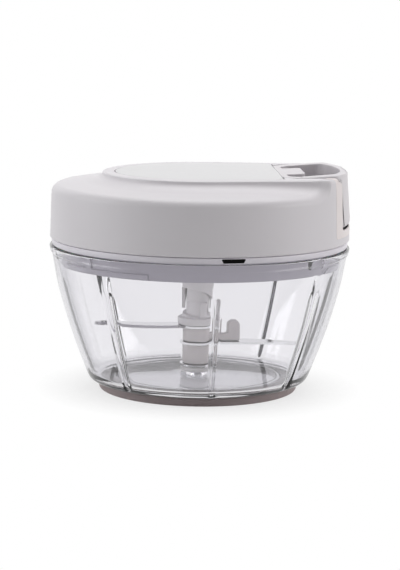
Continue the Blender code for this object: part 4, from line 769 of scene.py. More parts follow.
def make_bowl():
    angles = bowl_angles()
    rings = [[polar(radius - depth * flute_across(angle) * flute_along(z), angle, z) for angle in angles]
             for radius, z, depth in bowl_profile()]
    bowl = loft(rings)
    face = stepped(-LUG_WIDTH / 2, LUG_LOW, LUG_WIDTH / 2, LUG_LOW + LUG_HEIGHT)
    outline = rounded([(y, z, LUG_ROUND) for y, z in face], 8)
    lugs = [moved(prism(outline, LUG_FACE, RIM_RADIUS - BOWL_WALL * 0.6, 'X'), angle) for angle in LUG_ANGLES]
    ring_outer = FOOT_RADIUS - FOOT_WIDTH - SEAT_GAP
    ring = turned(0.4 * mm, ring_outer - LOCATING_RING, BASE_Z - LOCATING_DEPTH,
                  ring_outer, BASE_Z + BOWL_FLOOR / 4, segments=FINE)
    boss_top = FLOOR_Z + PIN_BOSS_HEIGHT
    join(bowl, *lugs, ring, cylinder(PIN_BOSS_RADIUS, FLOOR_Z - BOWL_FLOOR / 4, boss_top))
    cut(bowl, cylinder(PIN_RADIUS + SEAT_GAP, BASE_Z + PIN_SOCKET_FLOOR, boss_top + 1 * mm))
    piece(shade(bowl, 40 * deg), "clear_bowl", "bowl_body", CLEAR, "clear", "bowl")


def make_foot():
    foot = turned(0.8 * mm, FOOT_RADIUS - FOOT_WIDTH, 0, FOOT_RADIUS, FOOT_HEIGHT, segments=FINE, steps=4)
    piece(foot, "foot_ring", "bowl_body", FOOT_GREY, "rubber", "non_slip_foot")


def make_pin():
    low = corner("bowl_pin", 0).z
    dome = arc((0, PIN_TOP - PIN_RADIUS), PIN_RADIUS, 0, pi / 2, 8)
    pin = revolve([(0, low), (PIN_RADIUS - 0.3 * mm, low), (PIN_RADIUS, low + 0.3 * mm)]
                  + dome[:-1] + [(0, PIN_TOP)], COARSE)
    piece(pin, "steel_pin", "bowl_body", TURNED_STEEL, "steel", "bowl_pin")


# Tower, spacers and blades

def tower_edge(angle):
    along = (angle - DOG_START) % pi
    if along <= DOG_SPAN:
        return DOG_Z + DOG_HEIGHT
    return DOG_Z + DOG_RAMP * (pi - along) / (pi - DOG_SPAN) + 0.2 * mm


def step_angles(count, marks):
    full = 2 * pi
    angles = [full * k / count for k in range(count)]
    angles = [a for a in angles if all(abs((a - m + pi) % full - pi) > 1 * deg for m in marks)]
    return sorted(angles + [m % full for m in marks])


def make_tower():
    bore = PIN_RADIUS + RUN_GAP
    dog_top = DOG_Z + DOG_HEIGHT
    tower = turned(0.6 * mm, bore, STACK_Z, CORE_RADIUS, COLLAR_Z, COLLAR_RADIUS, DOG_Z, DOG_RADIUS, dog_top,
                   SPIGOT_RADIUS, SPIGOT_TOP, 0, PIN_TOP + RUN_GAP)
    marks = []
    for side in (0, pi):
        for edge in (DOG_START, DOG_START + DOG_SPAN):
            marks += [edge + side - 0.3 * deg, edge + side + 0.3 * deg]
    gap = wavy_ring(SPIGOT_RADIUS + 0.2 * mm, COLLAR_RADIUS + 2 * mm, tower_edge,
                    lambda angle: dog_top + 5 * mm, step_angles(72, marks))
    bevel_edges(cut(tower, gap), 0.35 * mm)
    piece(tower, "blade_column", "blade_body", TOWER_GREY, "pale_grey", "blade_tower")


def make_tower_foot():
    low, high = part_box("tower_foot")
    ring = turned(0.5 * mm, STACK_BORE, low.z, high.x, high.z)
    piece(ring, "tower_foot_ring", "blade_body", TOWER_GREY, "pale_grey", "tower_foot")


def make_spacer(node, length, angle):
    """A spacer between two blades: a tube with an arm that ends in an upright finger."""
    low = corner(node, 0).z
    finger_top = corner(node, 1).z
    tube = turned(0.4 * mm, STACK_BORE, low, COLUMN_RADIUS, low + length)
    start = (STACK_BORE + COLUMN_RADIUS) / 2
    finger = CARRIER_REACH - FINGER_WIDTH
    arm = prism(rounded([
        (start, low + 0.1 * mm, 0), (CARRIER_REACH, low + 0.1 * mm, 0.5 * mm),
        (CARRIER_REACH, finger_top, 2.2 * mm), (finger, finger_top, 2.2 * mm),
        (finger, low + CARRIER_THICKNESS, 1.2 * mm), (start, low + CARRIER_THICKNESS, 0),
    ]), -CARRIER_WIDTH / 2, CARRIER_WIDTH / 2, 'Y')
    join(tube, moved(arm, angle))
    bevel_edges(tube, 0.4 * mm)
    piece(tube, node + "_block", "blade_body", SPACER_GREY, "mid_grey", node)


def blade_outline(length):
    """Plan of a blade along +X: the eye, the trailing side, and the swept cutting side."""
    half = 40 * deg
    eye = arc((0, 0), BLADE_EYE, half, 2 * pi - half, 40)
    root = BLADE_EYE * sin(half)
    start = BLADE_EYE * cos(half)
    trailing, leading = [], []
    for t in spread(0, 1, 24)[1:]:
        x = start + (length - start) * t
        sweep = -BLADE_SWEEP * t ** 2
        trailing.append((x - BLADE_TIP_SLANT * t, -root * (1 - 0.45 * t) + sweep * 0.7))
        leading.append((x, root * (1 - 0.2 * t) + BLADE_BELLY * sin(pi * t) + sweep))
    return eye, trailing, leading[::-1]


def make_blade(node, angle):
    """A flat blank with a ground bevel that ends in a keen edge."""
    z = corner(node, 0).z
    widest = corner("blade_middle" if node == "blade_top" else node, 0).z
    eye, trailing, leading = blade_outline(bowl_radius(widest) - BOWL_WALL - BLADE_TIP_GAP)
    blank = eye + trailing + leading
    ground = eye + trailing + [(x - BLADE_BEVEL * 0.2, y - BLADE_BEVEL) for x, y in leading]
    blade = moved(loft([[(x, y, z + rise) for x, y in outline] for outline, rise in
                        ((blank, 0), (blank, 0.15 * mm), (ground, BLADE_THICKNESS))]), angle)
    cut(blade, cylinder(STACK_BORE, z - 2 * mm, z + 3 * mm, MIDDLE))
    piece(shade(blade, 12 * deg), node + "_steel", "blade_body", BLADE_STEEL, "steel", node)


# Lid base and gasket

def at_screws(radius, low, high):
    """A cylinder at each of the lid's screws."""
    return [moved(cylinder(radius, low, high), 0, polar(BOSS_CIRCLE, angle)) for angle in BOSS_ANGLES]


def ledge_stations(shift):
    half = asin(LUG_WIDTH / 2 / LUG_FACE)
    stop = LUG_ANGLES[0] + half + LOCK_ANGLE + 0.6 * deg - LEDGE_START
    low = LEDGE_TOP - LEDGE_LEAD
    stop_top = LUG_LOW + LUG_HEIGHT
    profile = [(LEDGE_RAMP * t, low + LEDGE_LEAD * sin(pi / 2 * t)) for t in spread(0, 1, 10)]
    profile += [(angle, LEDGE_TOP) for angle in spread(LEDGE_RAMP, stop, 8)[1:]]
    after = stop + STOP_SPAN
    profile += [(stop + 0.3 * deg, stop_top), (after, stop_top), (after + 0.3 * deg, LEDGE_TOP)]
    profile += [(angle, LEDGE_TOP) for angle in spread(after, LEDGE_SPAN, 14)[1:]]
    return [(LEDGE_START + shift + angle, top) for angle, top in profile]


def make_lid_base():
    groove_outer = FLANGE_RADIUS - FLANGE_LIP
    groove_inner = groove_outer - GASKET_WIDTH - 2 * SEAT_GAP
    groove_top = GASKET_BOTTOM + GASKET_HEIGHT + SEAT_GAP
    rib_outer = COVER_RADIUS - COVER_WALL - SEAT_GAP
    inner = SKIRT_RADIUS - SKIRT_WALL
    tube_radius = corner("hub_bush", 1).x
    tube_bore = tube_radius - BUSH_TUBE_WALL
    seat = BUSH_TOP - BUSH_FLANGE - SEAT_GAP
    base = turned(
        0.35 * mm, tube_bore, PLATE_HEIGHT - 1 * mm, tube_radius, PLATE_HEIGHT, inner, SKIRT_BOTTOM,
        SKIRT_RADIUS, GASKET_BOTTOM, groove_inner, groove_top, groove_outer, RIM_HEIGHT + RUN_GAP,
        FLANGE_RADIUS, FLANGE_TOP, rib_outer, FLANGE_TOP + RIB_HEIGHT, rib_outer - RIB_WIDTH, FLANGE_TOP,
        inner, PLATE_TOP, tube_radius, seat, segments=FINE)
    ledge_radius = bowl_radius(SKIRT_BOTTOM) - BOWL_WALL - RUN_GAP
    deep = SKIRT_RADIUS - SKIRT_WALL / 2
    low = SKIRT_BOTTOM + 0.2 * mm
    ease = 0.3 * mm
    join(base, *[loft([[polar(r, station, z) for r, z in (
        (deep, low), (ledge_radius - ease, low), (ledge_radius, low + ease), (ledge_radius, top - ease),
        (ledge_radius - ease, top), (deep, top),
    )] for station, top in ledge_stations(angle - LUG_ANGLES[0])]) for angle in LUG_ANGLES])
    slot_low = RIM_HEIGHT + RUN_GAP + 0.4 * mm
    half = SLOT_WIDTH / 2
    # The slot's back stops 0.15 mm short of the gasket's groove; its inside is painted near black as the
    # shadow of a deep opening
    slot = moved(prism(rounded([
        (-half + SLOT_TAPER, slot_low, 0.4 * mm), (half - SLOT_TAPER, slot_low, 0.4 * mm),
        (half, FLANGE_TOP - 0.4 * mm, 0.4 * mm), (-half, FLANGE_TOP - 0.4 * mm, 0.4 * mm),
    ]), groove_outer + 0.15 * mm, FLANGE_RADIUS + 2 * mm, 'X'), SLOT_ANGLE)
    cut(base, slot, *at_screws(SCREW_HOLE, PLATE_HEIGHT - 2 * mm, PLATE_TOP + 2 * mm))
    piece(shade(base, 35 * deg), "lid_base_shell", "lid_body", BASE_GREY, "pale_grey", "lid_base")

    def in_slot(point):
        reach = hypot(point.x, point.y)
        turn = abs(atan2(point.y, point.x) - SLOT_ANGLE) * reach
        return (turn < half + 0.05 * mm and groove_outer + 0.05 * mm < reach < FLANGE_RADIUS - 0.05 * mm
                and slot_low - 0.05 * mm < point.z < FLANGE_TOP - 0.3 * mm)

    # Painted shade: the slot's walls and back in near black
    paint(base, SLOT_PAINTED_SHADE, in_slot)
    # Painted shade: the skirt below the rim gets the darker copy of the base's grey
    paint(base, SKIRT_PAINTED_SHADE, lambda point: point.z < RIM_HEIGHT and hypot(point.x, point.y) > inner - 1 * mm)


def make_gasket():
    low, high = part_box("lid_gasket")
    gasket = turned(0.6 * mm, high.y - GASKET_WIDTH, low.z, high.y, high.z, segments=FINE, steps=4)
    piece(gasket, "seal_ring", "seal_body", SILICONE, "silicone", "lid_gasket")


# Lid cover and inlay

def plateau_height(x):
    return PLATEAU_TOP + PLATEAU_SLOPE * x


def side_radius(z):
    return COVER_RADIUS - COVER_DRAFT * (z - COVER_BOTTOM)


def step_share(margin):
    """Share of the plateau's height, at a distance outside its outline."""
    if margin <= STEP_EDGE - STEP_ROUND:
        return 1
    if margin < STEP_EDGE:
        across = (margin - STEP_EDGE + STEP_ROUND) / STEP_ROUND
        return STEP_SPLIT + (1 - STEP_SPLIT) * sqrt(1 - across ** 2)
    if margin < STEP_EDGE + STEP_FILLET:
        across = 1 - (margin - STEP_EDGE) / STEP_FILLET
        return STEP_SPLIT * (1 - sqrt(1 - across ** 2))
    return 0


def on_long_side(x, y):
    """Whether a place lies beside the plateau's straight sides and not its round end."""
    return x * TAPER_RISE > abs(y) * TAPER_LEAN


def side_at(radius, x):
    """Half width of a form with the plateau's outline, at a distance to the right of the lid's axis."""
    return (radius - x * TAPER_LEAN) / TAPER_RISE


def share_at(x, y):
    if on_long_side(x, y):
        return step_share(abs(y) * TAPER_RISE + x * TAPER_LEAN - PLATEAU_RADIUS)
    return step_share(hypot(x, y) - PLATEAU_RADIUS)


def lid_top(x, y):
    crown = CROWN_HEIGHT - CROWN_FALL * (hypot(x, y) - PLATEAU_RADIUS)
    return crown + share_at(x, y) * (plateau_height(x) - crown)


def cover_angles():
    """Columns close together where the plateau's edge runs out over the side, and wider elsewhere."""
    angles = []
    angle = -180
    while angle < 180:
        angles.append(angle * deg)
        angle += 0.5 if 33 <= abs(angle + 0.25) <= 52 else 2
    return angles


def recess_reach(angle, grow):
    """Distance from the axis to the edge of the inlay's recess."""
    radius = INLAY_RADIUS + grow
    right = POCKET_INNER + 0.6 * mm + grow
    c, s = cos(angle), abs(sin(angle))
    if not on_long_side(c, s):
        return radius
    reach = min(right / c, radius / (s * TAPER_RISE + c * TAPER_LEAN))
    x = right - INLAY_CORNER
    y = side_at(radius - INLAY_CORNER, x)
    if reach * s > y and (reach * c - x) * TAPER_RISE > (reach * s - y) * TAPER_LEAN:
        along = x * c + y * s
        reach = along + sqrt(along ** 2 - x ** 2 - y ** 2 + INLAY_CORNER ** 2)
    return reach


def cover_rings(steps):
    """Rings of the cover's outside: side, shoulder, the step up to the plateau, and the inlay's recess."""
    rings = [[] for _ in range(6)]
    shoulder = [[] for _ in range(steps + 1)]
    turns = spread(0, pi / 2, steps)
    margins = [STEP_EDGE + STEP_FILLET * (1 - sin(turn)) for turn in turns[:-1]]
    margins += [STEP_EDGE - STEP_ROUND * (1 - cos(turn)) for turn in turns]
    climb = [[] for _ in margins]
    edges = [(SEAT_GAP + RECESS_ROUND * (1 - sin(t)), RECESS_ROUND * (1 - cos(t)))
             for t in (0, 25 * deg, 50 * deg, 72 * deg, 90 * deg)]
    edges.append((SEAT_GAP, INLAY_THICKNESS + SEAT_GAP))
    recess = [[] for _ in edges]
    for angle in cover_angles():
        c, s = cos(angle), sin(angle)
        edge = side_radius(SHOULDER_HEIGHT)
        share = share_at(edge * c, edge * s)
        edge = side_radius(SHOULDER_HEIGHT + share * PLATEAU_RISE)
        rounding = SHOULDER_RADIUS + share * (END_ROUND - SHOULDER_RADIUS)
        low = lid_top(edge * c, edge * s) - rounding
        levels = [(COVER_RADIUS - inset * COVER_EASE, COVER_BOTTOM + rise * COVER_EASE)
                  for inset, rise in ((1, 0), (0.3, 0.3), (0, 1))]
        levels += [(side_radius(z), z) for z in
                   (COVER_BOTTOM + COVER_EASE + (low - COVER_BOTTOM) * t for t in (0.3, 0.6, 0.85))]
        for ring, (r, z) in zip(rings, levels):
            ring.append((r * c, r * s, z))
        for j, ring in enumerate(shoulder):
            turn = pi / 2 * (1 - j / steps)
            r = edge - rounding * (1 - sin(turn))
            ring.append((r * c, r * s, lid_top(r * c, r * s) - rounding * (1 - cos(turn))))
        for j, (margin, ring) in enumerate(zip(margins, climb)):
            r = PLATEAU_RADIUS + margin
            if on_long_side(c, s):
                along = abs(s) * TAPER_RISE + c * TAPER_LEAN
                r = min(r / along, edge - SHOULDER_RADIUS - 4.2 * mm / len(margins) * (j + 1))
            ring.append((r * c, r * s, lid_top(r * c, r * s)))
        for ring, (grow, drop) in zip(recess, edges):
            r = recess_reach(angle, grow)
            ring.append((r * c, r * s, plateau_height(r * c) - drop))
    return rings + shoulder + climb + recess


def round_end(radius, steps):
    return arc((0, 0), radius, pi / 2 - PLATEAU_TAPER, 3 * pi / 2 + PLATEAU_TAPER, steps)


def stadium(radius, right):
    side = side_at(radius, right)
    return round_end(radius, 48) + [(right, -side), (right, side)]


def tilted_prism(outline, low, high):
    """A slab that follows the plateau's slope."""
    return loft([[(x, y, plateau_height(x) + offset) for x, y in outline] for offset in (low, high)])


def inlay_outline(grow, right):
    left = round_end(INLAY_RADIUS + grow, 72)
    side = side_at(INLAY_RADIUS + grow, right)
    corners = [(*left[-1], 0), (right, -side, INLAY_CORNER), (right, side, INLAY_CORNER), (*left[0], 0)]
    ends = rounded(corners, 12)
    return left + ends[1:-1]


def wing_profile(grow, floor):
    """Section of the pocket across X, grown outwards by a margin."""
    half = POCKET_HALF + grow
    wing = WING_HALF + grow
    across = WING_HALF - POCKET_HALF - grow
    up = WING_HIGH - WING_LOW - grow
    last = acos(max(0, (WING_HALF - wing) / across))
    flare = [(WING_HALF - across * cos(turn), WING_LOW + up * sin(turn)) for turn in spread(0, last, 16)]
    if grow > 0:
        flare.append((wing, flare[-1][1]))
    top = PLATEAU_TOP + 20 * mm
    right = [(half - inset * POCKET_ROUND, floor + rise * POCKET_ROUND)
             for inset, rise in ((1, 0), (0.3, 0.3), (0, 1))]
    right += flare + [(wing, top)]
    return right + [(-y, z) for y, z in reversed(right)]


def pocket_plan(grow, outer):
    inner = POCKET_INNER - grow
    half = WING_HALF + grow
    corner_radius = POCKET_CORNER + grow
    return rounded(mirrored([(inner, -half, corner_radius), (outer, -half, 0)]), 14)


def pocket_form(grow, floor, outer):
    start = POCKET_INNER - grow - 1 * mm
    form = prism(wing_profile(grow, floor), start, outer, 'X')
    plan = prism(pocket_plan(grow, outer + 5 * mm), floor - 5 * mm, PLATEAU_TOP + 30 * mm)
    return keep_inside(form, plan)


def make_cover():
    cover = loft(cover_rings(10))
    on_skin = skin_of(cover)
    inner = side_radius(SHOULDER_HEIGHT) - COVER_WALL
    cavity = revolve([
        (0, COVER_BOTTOM - 10 * mm), (COVER_RADIUS - COVER_WALL, COVER_BOTTOM - 10 * mm),
        (COVER_RADIUS - COVER_WALL, COVER_BOTTOM), (inner, SHOULDER_HEIGHT - 0.5 * mm),
        (inner - 1.5 * mm, SHOULDER_HEIGHT + 1 * mm), (0, CROWN_HEIGHT - COVER_WALL),
    ], MIDDLE)
    void_drop = INLAY_THICKNESS + SEAT_GAP + ROOF_THICKNESS
    join(cavity, tilted_prism(stadium(PLATEAU_RADIUS - COVER_WALL - 0.2 * mm, PLATEAU_RADIUS + 3 * mm),
                              -10 * mm, -void_drop))
    cut(cavity, pocket_form(POCKET_WALL, POCKET_FLOOR - POCKET_WALL, COVER_RADIUS + 20 * mm))
    boss_z = corner("spool_cap", 1).z + SEAT_GAP
    centre = cylinder(CENTRE_BOSS, boss_z, PLATEAU_TOP + 5 * mm)
    cut(cavity, centre, *at_screws(BOSS_RADIUS, PLATE_TOP + SEAT_GAP, PLATEAU_TOP))
    cut(cover, cavity)
    cut(cover, pocket_form(MOUTH_EASE, POCKET_FLOOR, COVER_RADIUS + 10 * mm))
    screw_top = corner("housing_screw_1", 1).z + SEAT_GAP
    axle = corner("centre_axle", 1)
    axle_seat = cylinder(axle.x + SEAT_GAP, boss_z - 2 * mm, axle.z + SEAT_GAP)
    eyelet_hole = along_x(cylinder(EYELET_HOLE, POCKET_INNER - POCKET_WALL - 2 * mm, POCKET_INNER + 2 * mm))
    cut(cover, *at_screws(SCREW_BORE, PLATE_TOP - 2 * mm, screw_top), axle_seat, eyelet_hole)
    bevel_edges(cover, 0.45 * mm, segments=3, share=on_skin)
    piece(cover, "cover_shell", "lid_body", COVER_GREY, "pale_grey", "lid_cover")


def lip_profile(floor):
    """Outline of the lip across X: up the pocket's sides and out along the top."""
    half = POCKET_HALF + LIP_WIDTH
    edge = half + 0.6 * mm
    right = rounded([(0, floor, 0), (half, floor, 1.2 * mm), (half, WING_LOW, 6 * mm),
                     (edge, WING_HIGH - 0.6 * mm, 2 * mm), (edge, WING_HIGH + 9 * mm, 0)])
    return right[1:] + [(-y, z) for y, z in reversed(right[1:])]


def make_lip():
    """Lip round the pocket's mouth, a little proud of the cover, in a paler colour painted as a highlight
    along the pocket's edge.
    """
    low = POCKET_FLOOR - LIP_HEIGHT
    top = plateau_height(COVER_RADIUS * 0.87)
    edge = side_radius(top) - END_ROUND
    profile = [(edge, low - 1 * mm), (side_radius(low) + LIP_PROUD, low - 1 * mm)]
    profile += arc((edge, top - END_ROUND), END_ROUND + LIP_PROUD, 0, pi / 2, 8)
    skin = revolve(profile + [(edge - LIP_REACH, top + LIP_PROUD), (edge - LIP_REACH, top - 1 * mm)])
    keep_inside(skin, prism(lip_profile(low), 40 * mm, COVER_RADIUS + 5 * mm, 'X'))
    cut(skin, prism(wing_profile(MOUTH_EASE + 0.05 * mm, POCKET_FLOOR), 30 * mm, COVER_RADIUS + 9 * mm, 'X'))
    bevel_edges(skin, 0.12 * mm)
    # Painted highlight: the lip's paler colour
    piece(skin, "pocket_lip", "lid_body", LIP_PAINTED_HIGHLIGHT, "pale_grey")


def make_inlay():
    right = INNER_EDGE - 0.15 * mm
    inlay = tilted_prism(inlay_outline(0, right), -INLAY_THICKNESS, 0)

    def share(edge):
        return min(1, 0.3 + (right - max(vertex.co.x for vertex in edge.verts)) / (20 * mm))

    bevel_edges(inlay, 0.3 * mm, share=share)
    piece(inlay, "inlay_panel", "lid_body", INLAY_GREY, "inlay", "top_inlay")


# Handle

def handle_side():
    """Outline of the handle across Y: its top rises a little towards the grip."""
    inner = INNER_EDGE - 2 * mm
    rise_start = INNER_EDGE + INNER_BAR
    rise_end = FACE_HIGH - GRIP_THICKNESS - 3 * mm
    top = [(inner, plateau_height(inner))]
    for t in spread(0, 1, 9):
        x = rise_start + (rise_end - rise_start) * t
        top.append((x, plateau_height(x) + HANDLE_RISE * (3 * t ** 2 - 2 * t ** 3)))
    crest = plateau_height(rise_end) + HANDLE_RISE
    top += arc((FACE_HIGH - HANDLE_ROUND, crest - HANDLE_ROUND), HANDLE_ROUND, pi / 2, 0, 12)
    edge = FACE_HIGH + 4 * mm
    grip_inner = FACE_HIGH - GRIP_THICKNESS
    return top + [
        (FACE_HIGH + 0.3 * mm, crest - 3 * HANDLE_ROUND), (edge, crest - 3.5 * HANDLE_ROUND),
        (edge, HANDLE_BOTTOM), (grip_inner - GRIP_FOOT, HANDLE_BOTTOM),
        (grip_inner - GRIP_FOOT - ARM_LIFT, HANDLE_BOTTOM + ARM_LIFT), (inner, HANDLE_BOTTOM + ARM_LIFT),
    ]


def opening_outline():
    inner = INNER_EDGE + INNER_BAR
    radius = FACE_HIGH - GRIP_THICKNESS
    reach = asin(OPENING_HALF / radius)
    far = radius * cos(reach)
    curve = [(x, y, 0) for x, y in arc((0, 0), radius, -reach * 0.6, reach * 0.6, 16)]
    return rounded([
        (inner, -OPENING_HALF, 6 * mm), (far, -OPENING_HALF, 5 * mm), *curve,
        (far, OPENING_HALF, 5 * mm), (inner, OPENING_HALF, 6 * mm),
    ], 10)


def make_handle():
    outer = FACE_LOW + 5 * mm
    handle = prism(wing_profile(-RUN_GAP, HANDLE_BOTTOM), INNER_EDGE - 1 * mm, outer, 'X')
    keep_inside(handle, prism(pocket_plan(-RUN_GAP, outer + 2 * mm), HANDLE_BOTTOM - 5 * mm,
                              PLATEAU_TOP + 30 * mm))
    keep_inside(handle, prism(handle_side(), -WING_HALF - 5 * mm, WING_HALF + 5 * mm, 'Y'))
    chamfer = FACE_LOW - 1.2 * mm
    keep_inside(handle, revolve([
        (0, HANDLE_BOTTOM - 2 * mm), (chamfer, HANDLE_BOTTOM - 2 * mm), (chamfer, HANDLE_BOTTOM - 0.2 * mm),
        (FACE_LOW, HANDLE_BOTTOM + 1.2 * mm), (FACE_HIGH, PLATEAU_TOP - 1 * mm),
        (FACE_HIGH, PLATEAU_TOP + 5 * mm), (0, PLATEAU_TOP + 5 * mm),
    ]))
    sides = pocket_form(-RUN_GAP, HANDLE_BOTTOM - 3 * mm, outer)
    on_rim = skin_of(sides)
    bpy.data.objects.remove(sides)
    root = INNER_EDGE - INNER_BAR
    tip = INNER_EDGE + INNER_BAR + TONGUE_REACH
    opening = prism(opening_outline(), HANDLE_BOTTOM - 10 * mm, PLATEAU_TOP + 10 * mm)
    outline = rounded(mirrored([(root, -TONGUE_HALF, 0), (tip, -TONGUE_HALF, TONGUE_CORNER)]), 12)
    tongue = prism(outline, PLATEAU_TOP - TONGUE_DEPTH, PLATEAU_TOP + 20 * mm)
    cut(opening, tongue)
    cut(handle, opening)
    chamber = FERRULE_LENGTH + 2 * SEAT_GAP
    start = FERRULE_X - SEAT_GAP
    half = FERRULE_RADIUS + RUN_GAP
    cut(handle, prism(stepped(start, -half, start + chamber, half), HANDLE_BOTTOM,
                      CORD_HEIGHT + FERRULE_RADIUS + SEAT_GAP))
    cut(handle, along_x(cylinder(CORD_RADIUS + RUN_GAP, INNER_EDGE - 3 * mm, start + 1 * mm)))

    def share(edge):
        if not on_rim(edge):
            return 0.45
        along = (min(vertex.co.x for vertex in edge.verts) - INNER_EDGE) / RIM_EASE
        return 0.2 + 0.8 * min(1, max(0, along))

    bevel_edges(handle, 1.1 * mm, segments=4, share=share)
    piece(handle, "loop_handle", "handle_body", HANDLE_GREY, "pale_grey", "pull_handle")


# Cord and its fittings

def tube(points):
    """The cord along a list of points."""
    curve = bpy.data.curves.new("route", 'CURVE')
    curve.dimensions = '3D'
    curve.bevel_depth = CORD_RADIUS
    curve.bevel_resolution = 5
    curve.use_fill_caps = True
    spline = curve.splines.new('POLY')
    spline.points.add(len(points) - 1)
    for point, place in zip(spline.points, points):
        point.co = (*place, 1)
    route = add_object("route", curve)
    graph = bpy.context.evaluated_depsgraph_get()
    cord = add_object("cord", bpy.data.meshes.new_from_object(route.evaluated_get(graph)))
    bpy.data.objects.remove(route)
    return cord


def cord_leave():
    """Where and in which direction the cord leaves its drum."""
    angle = -acos(CORD_ORBIT / CORD_CORNER)
    return angle, Vector(polar(CORD_ORBIT, angle, CORD_HEIGHT)), Vector((-sin(angle), cos(angle), 0))


def make_winding():
    end_angle, point, direction = cord_leave()
    per_turn = 72
    count = round(CORD_TURNS * per_turn)
    points = [Vector(polar(CORD_ORBIT, end_angle - back * 2 * pi, CORD_HEIGHT - back * CORD_PITCH))
              for back in spread(count / per_turn, 0, count)]
    points.append(point + direction * CORD_RADIUS * 2)
    piece(tube(points), "cord_turns", "spool_body", CORD_WEAVE, "cord", "cord_winding")


def make_cord():
    """The free run from the drum to the handle."""
    _, point, direction = cord_leave()
    start = point + direction * (CORD_RADIUS * 2 + SEAT_GAP)
    bend = Vector((CORD_CORNER, 0, CORD_HEIGHT))
    before = bend - direction * CORD_BEND
    after = bend + Vector((CORD_BEND, 0, 0))
    end = Vector((FERRULE_X - SEAT_GAP, 0, CORD_HEIGHT))
    points = [start.lerp(before, k / 6) for k in range(6)]
    points += [curved(before, bend, after, t) for t in spread(0, 1, 10)]
    points += [after.lerp(end, k / 40) for k in range(1, 41)]
    cord = tube(points)
    cord.name = "cord_run"
    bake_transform(cord)
    piece(cord, "cord_run", None, CORD_WEAVE, "cord", "pull_cord")


def make_fittings():
    ferrule = turned(0.3 * mm, CORD_RADIUS + 0.1 * mm, FERRULE_X, FERRULE_RADIUS, FERRULE_X + FERRULE_LENGTH,
                     segments=COARSE)
    piece(along_x(ferrule), "crimped_ferrule", "handle_body", BRASS, "brass", "cord_ferrule")
    back = corner("cord_eyelet", 0).x
    front = corner("cord_eyelet", 1).x
    flange = back + EYELET_ROUND
    throat = [(EYELET_BORE + (EYELET_MOUTH - EYELET_BORE) * (1 - cos(t)), front - EYELET_ROUND * cos(t) ** 2)
              for t in (1.2, 0.8, 0.4, 0)]
    eyelet = along_x(revolve([
        (EYELET_MOUTH, back), (EYELET_FLANGE - 0.4 * mm, back), (EYELET_FLANGE, back + 0.4 * mm),
        (EYELET_FLANGE, flange), (EYELET_BODY, flange), (EYELET_BODY, front), (EYELET_MOUTH, front), *throat,
        (EYELET_BORE, flange), (EYELET_BORE + 0.2 * mm, back + 0.4 * mm),
    ], COARSE))
    piece(eyelet, "polished_eyelet", "lid_body", TURNED_STEEL, "steel", "cord_eyelet")


# Hub and fasteners

def sleeve_edge(angle):
    along = (angle - SLEEVE_RAMP_START) % pi
    if along >= SLEEVE_RAMP_SPAN:
        return SLEEVE_EDGE_HIGH
    t = along / SLEEVE_RAMP_SPAN
    return SLEEVE_EDGE_LOW + (SLEEVE_EDGE_HIGH - SLEEVE_EDGE_LOW) * sqrt(max(0, 1 - t ** 2))


def make_hub():
    """The hub's sleeve and shaft, up to its cup, with the two curved ramps of the coupling."""
    shaft_low = PLATE_HEIGHT - HUB_SHAFT_DROP
    top = corner("drive_hub", 1).z
    cup_low = BUSH_TOP + SEAT_GAP
    floor = corner("cord_spool", 0).z - RUN_GAP
    bore = corner("centre_axle", 1).x + SEAT_GAP
    hub = turned(0.4 * mm, HUB_BORE, SLEEVE_EDGE_LOW - 0.2 * mm, SLEEVE_RADIUS, shaft_low, HUB_SHAFT, cup_low,
                 HUB_RADIUS, top, HUB_RADIUS - CUP_WALL, floor, bore, AXLE_BOTTOM)
    marks = []
    for side in (0, pi):
        edge = SLEEVE_RAMP_START + SLEEVE_RAMP_SPAN + side
        marks += [edge - t * deg for t in (30, 20, 14, 10, 7, 4.5, 2.5, 1, 0.3)] + [edge + 0.3 * deg]
    low_z = SLEEVE_EDGE_LOW - 5 * mm
    waste = wavy_ring(HUB_BORE - 1.5 * mm, SLEEVE_RADIUS + 1.5 * mm, lambda angle: low_z, sleeve_edge,
                      step_angles(120, marks))
    bevel_edges(cut(hub, waste), 0.3 * mm)
    piece(hub, "drive_sleeve", "hub_body", TOWER_GREY, "nylon", "drive_hub")


def make_bush():
    low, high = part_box("hub_bush")
    bore = HUB_SHAFT + SEAT_GAP
    radius = bore + BUSH_WALL
    bush = turned(0.25 * mm, bore, low.z, radius, high.z - BUSH_FLANGE, high.x, high.z)
    piece(bush, "bearing_bush", "lid_body", NYLON, "nylon", "hub_bush")


def cross_recess(size, low, depth):
    """Cutter for a cross recess in the underside of a screw head."""
    arm = size * 0.28
    outline = stepped(size, arm, arm, size, -arm, arm, -size, -arm, -arm, -size, arm, -arm)
    wide = [(x, y, low - 1 * mm) for x, y in outline]
    narrow = [(x * 0.55, y * 0.55, low + depth) for x, y in outline]
    return loft([wide, narrow])


def make_screw(node, name, place, head_top, lower, upper, shank, cross):
    """A screw that points up. Its head is given by radii with heights over its face and under its top."""
    low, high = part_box(node)
    head = [(r, low.z + rise) for r, rise in lower] + [(r, head_top - drop) for r, drop in upper]
    rod = [(shank, head_top), (shank, high.z - SCREW_POINT), (0, high.z)]
    screw = revolve([(0, low.z)] + head + rod, COARSE)
    size, depth = cross
    cut(screw, cross_recess(size, low.z, depth))
    piece(moved(shade(screw, 35 * deg), 0, place), name, "lid_body", TURNED_STEEL, "steel", node)


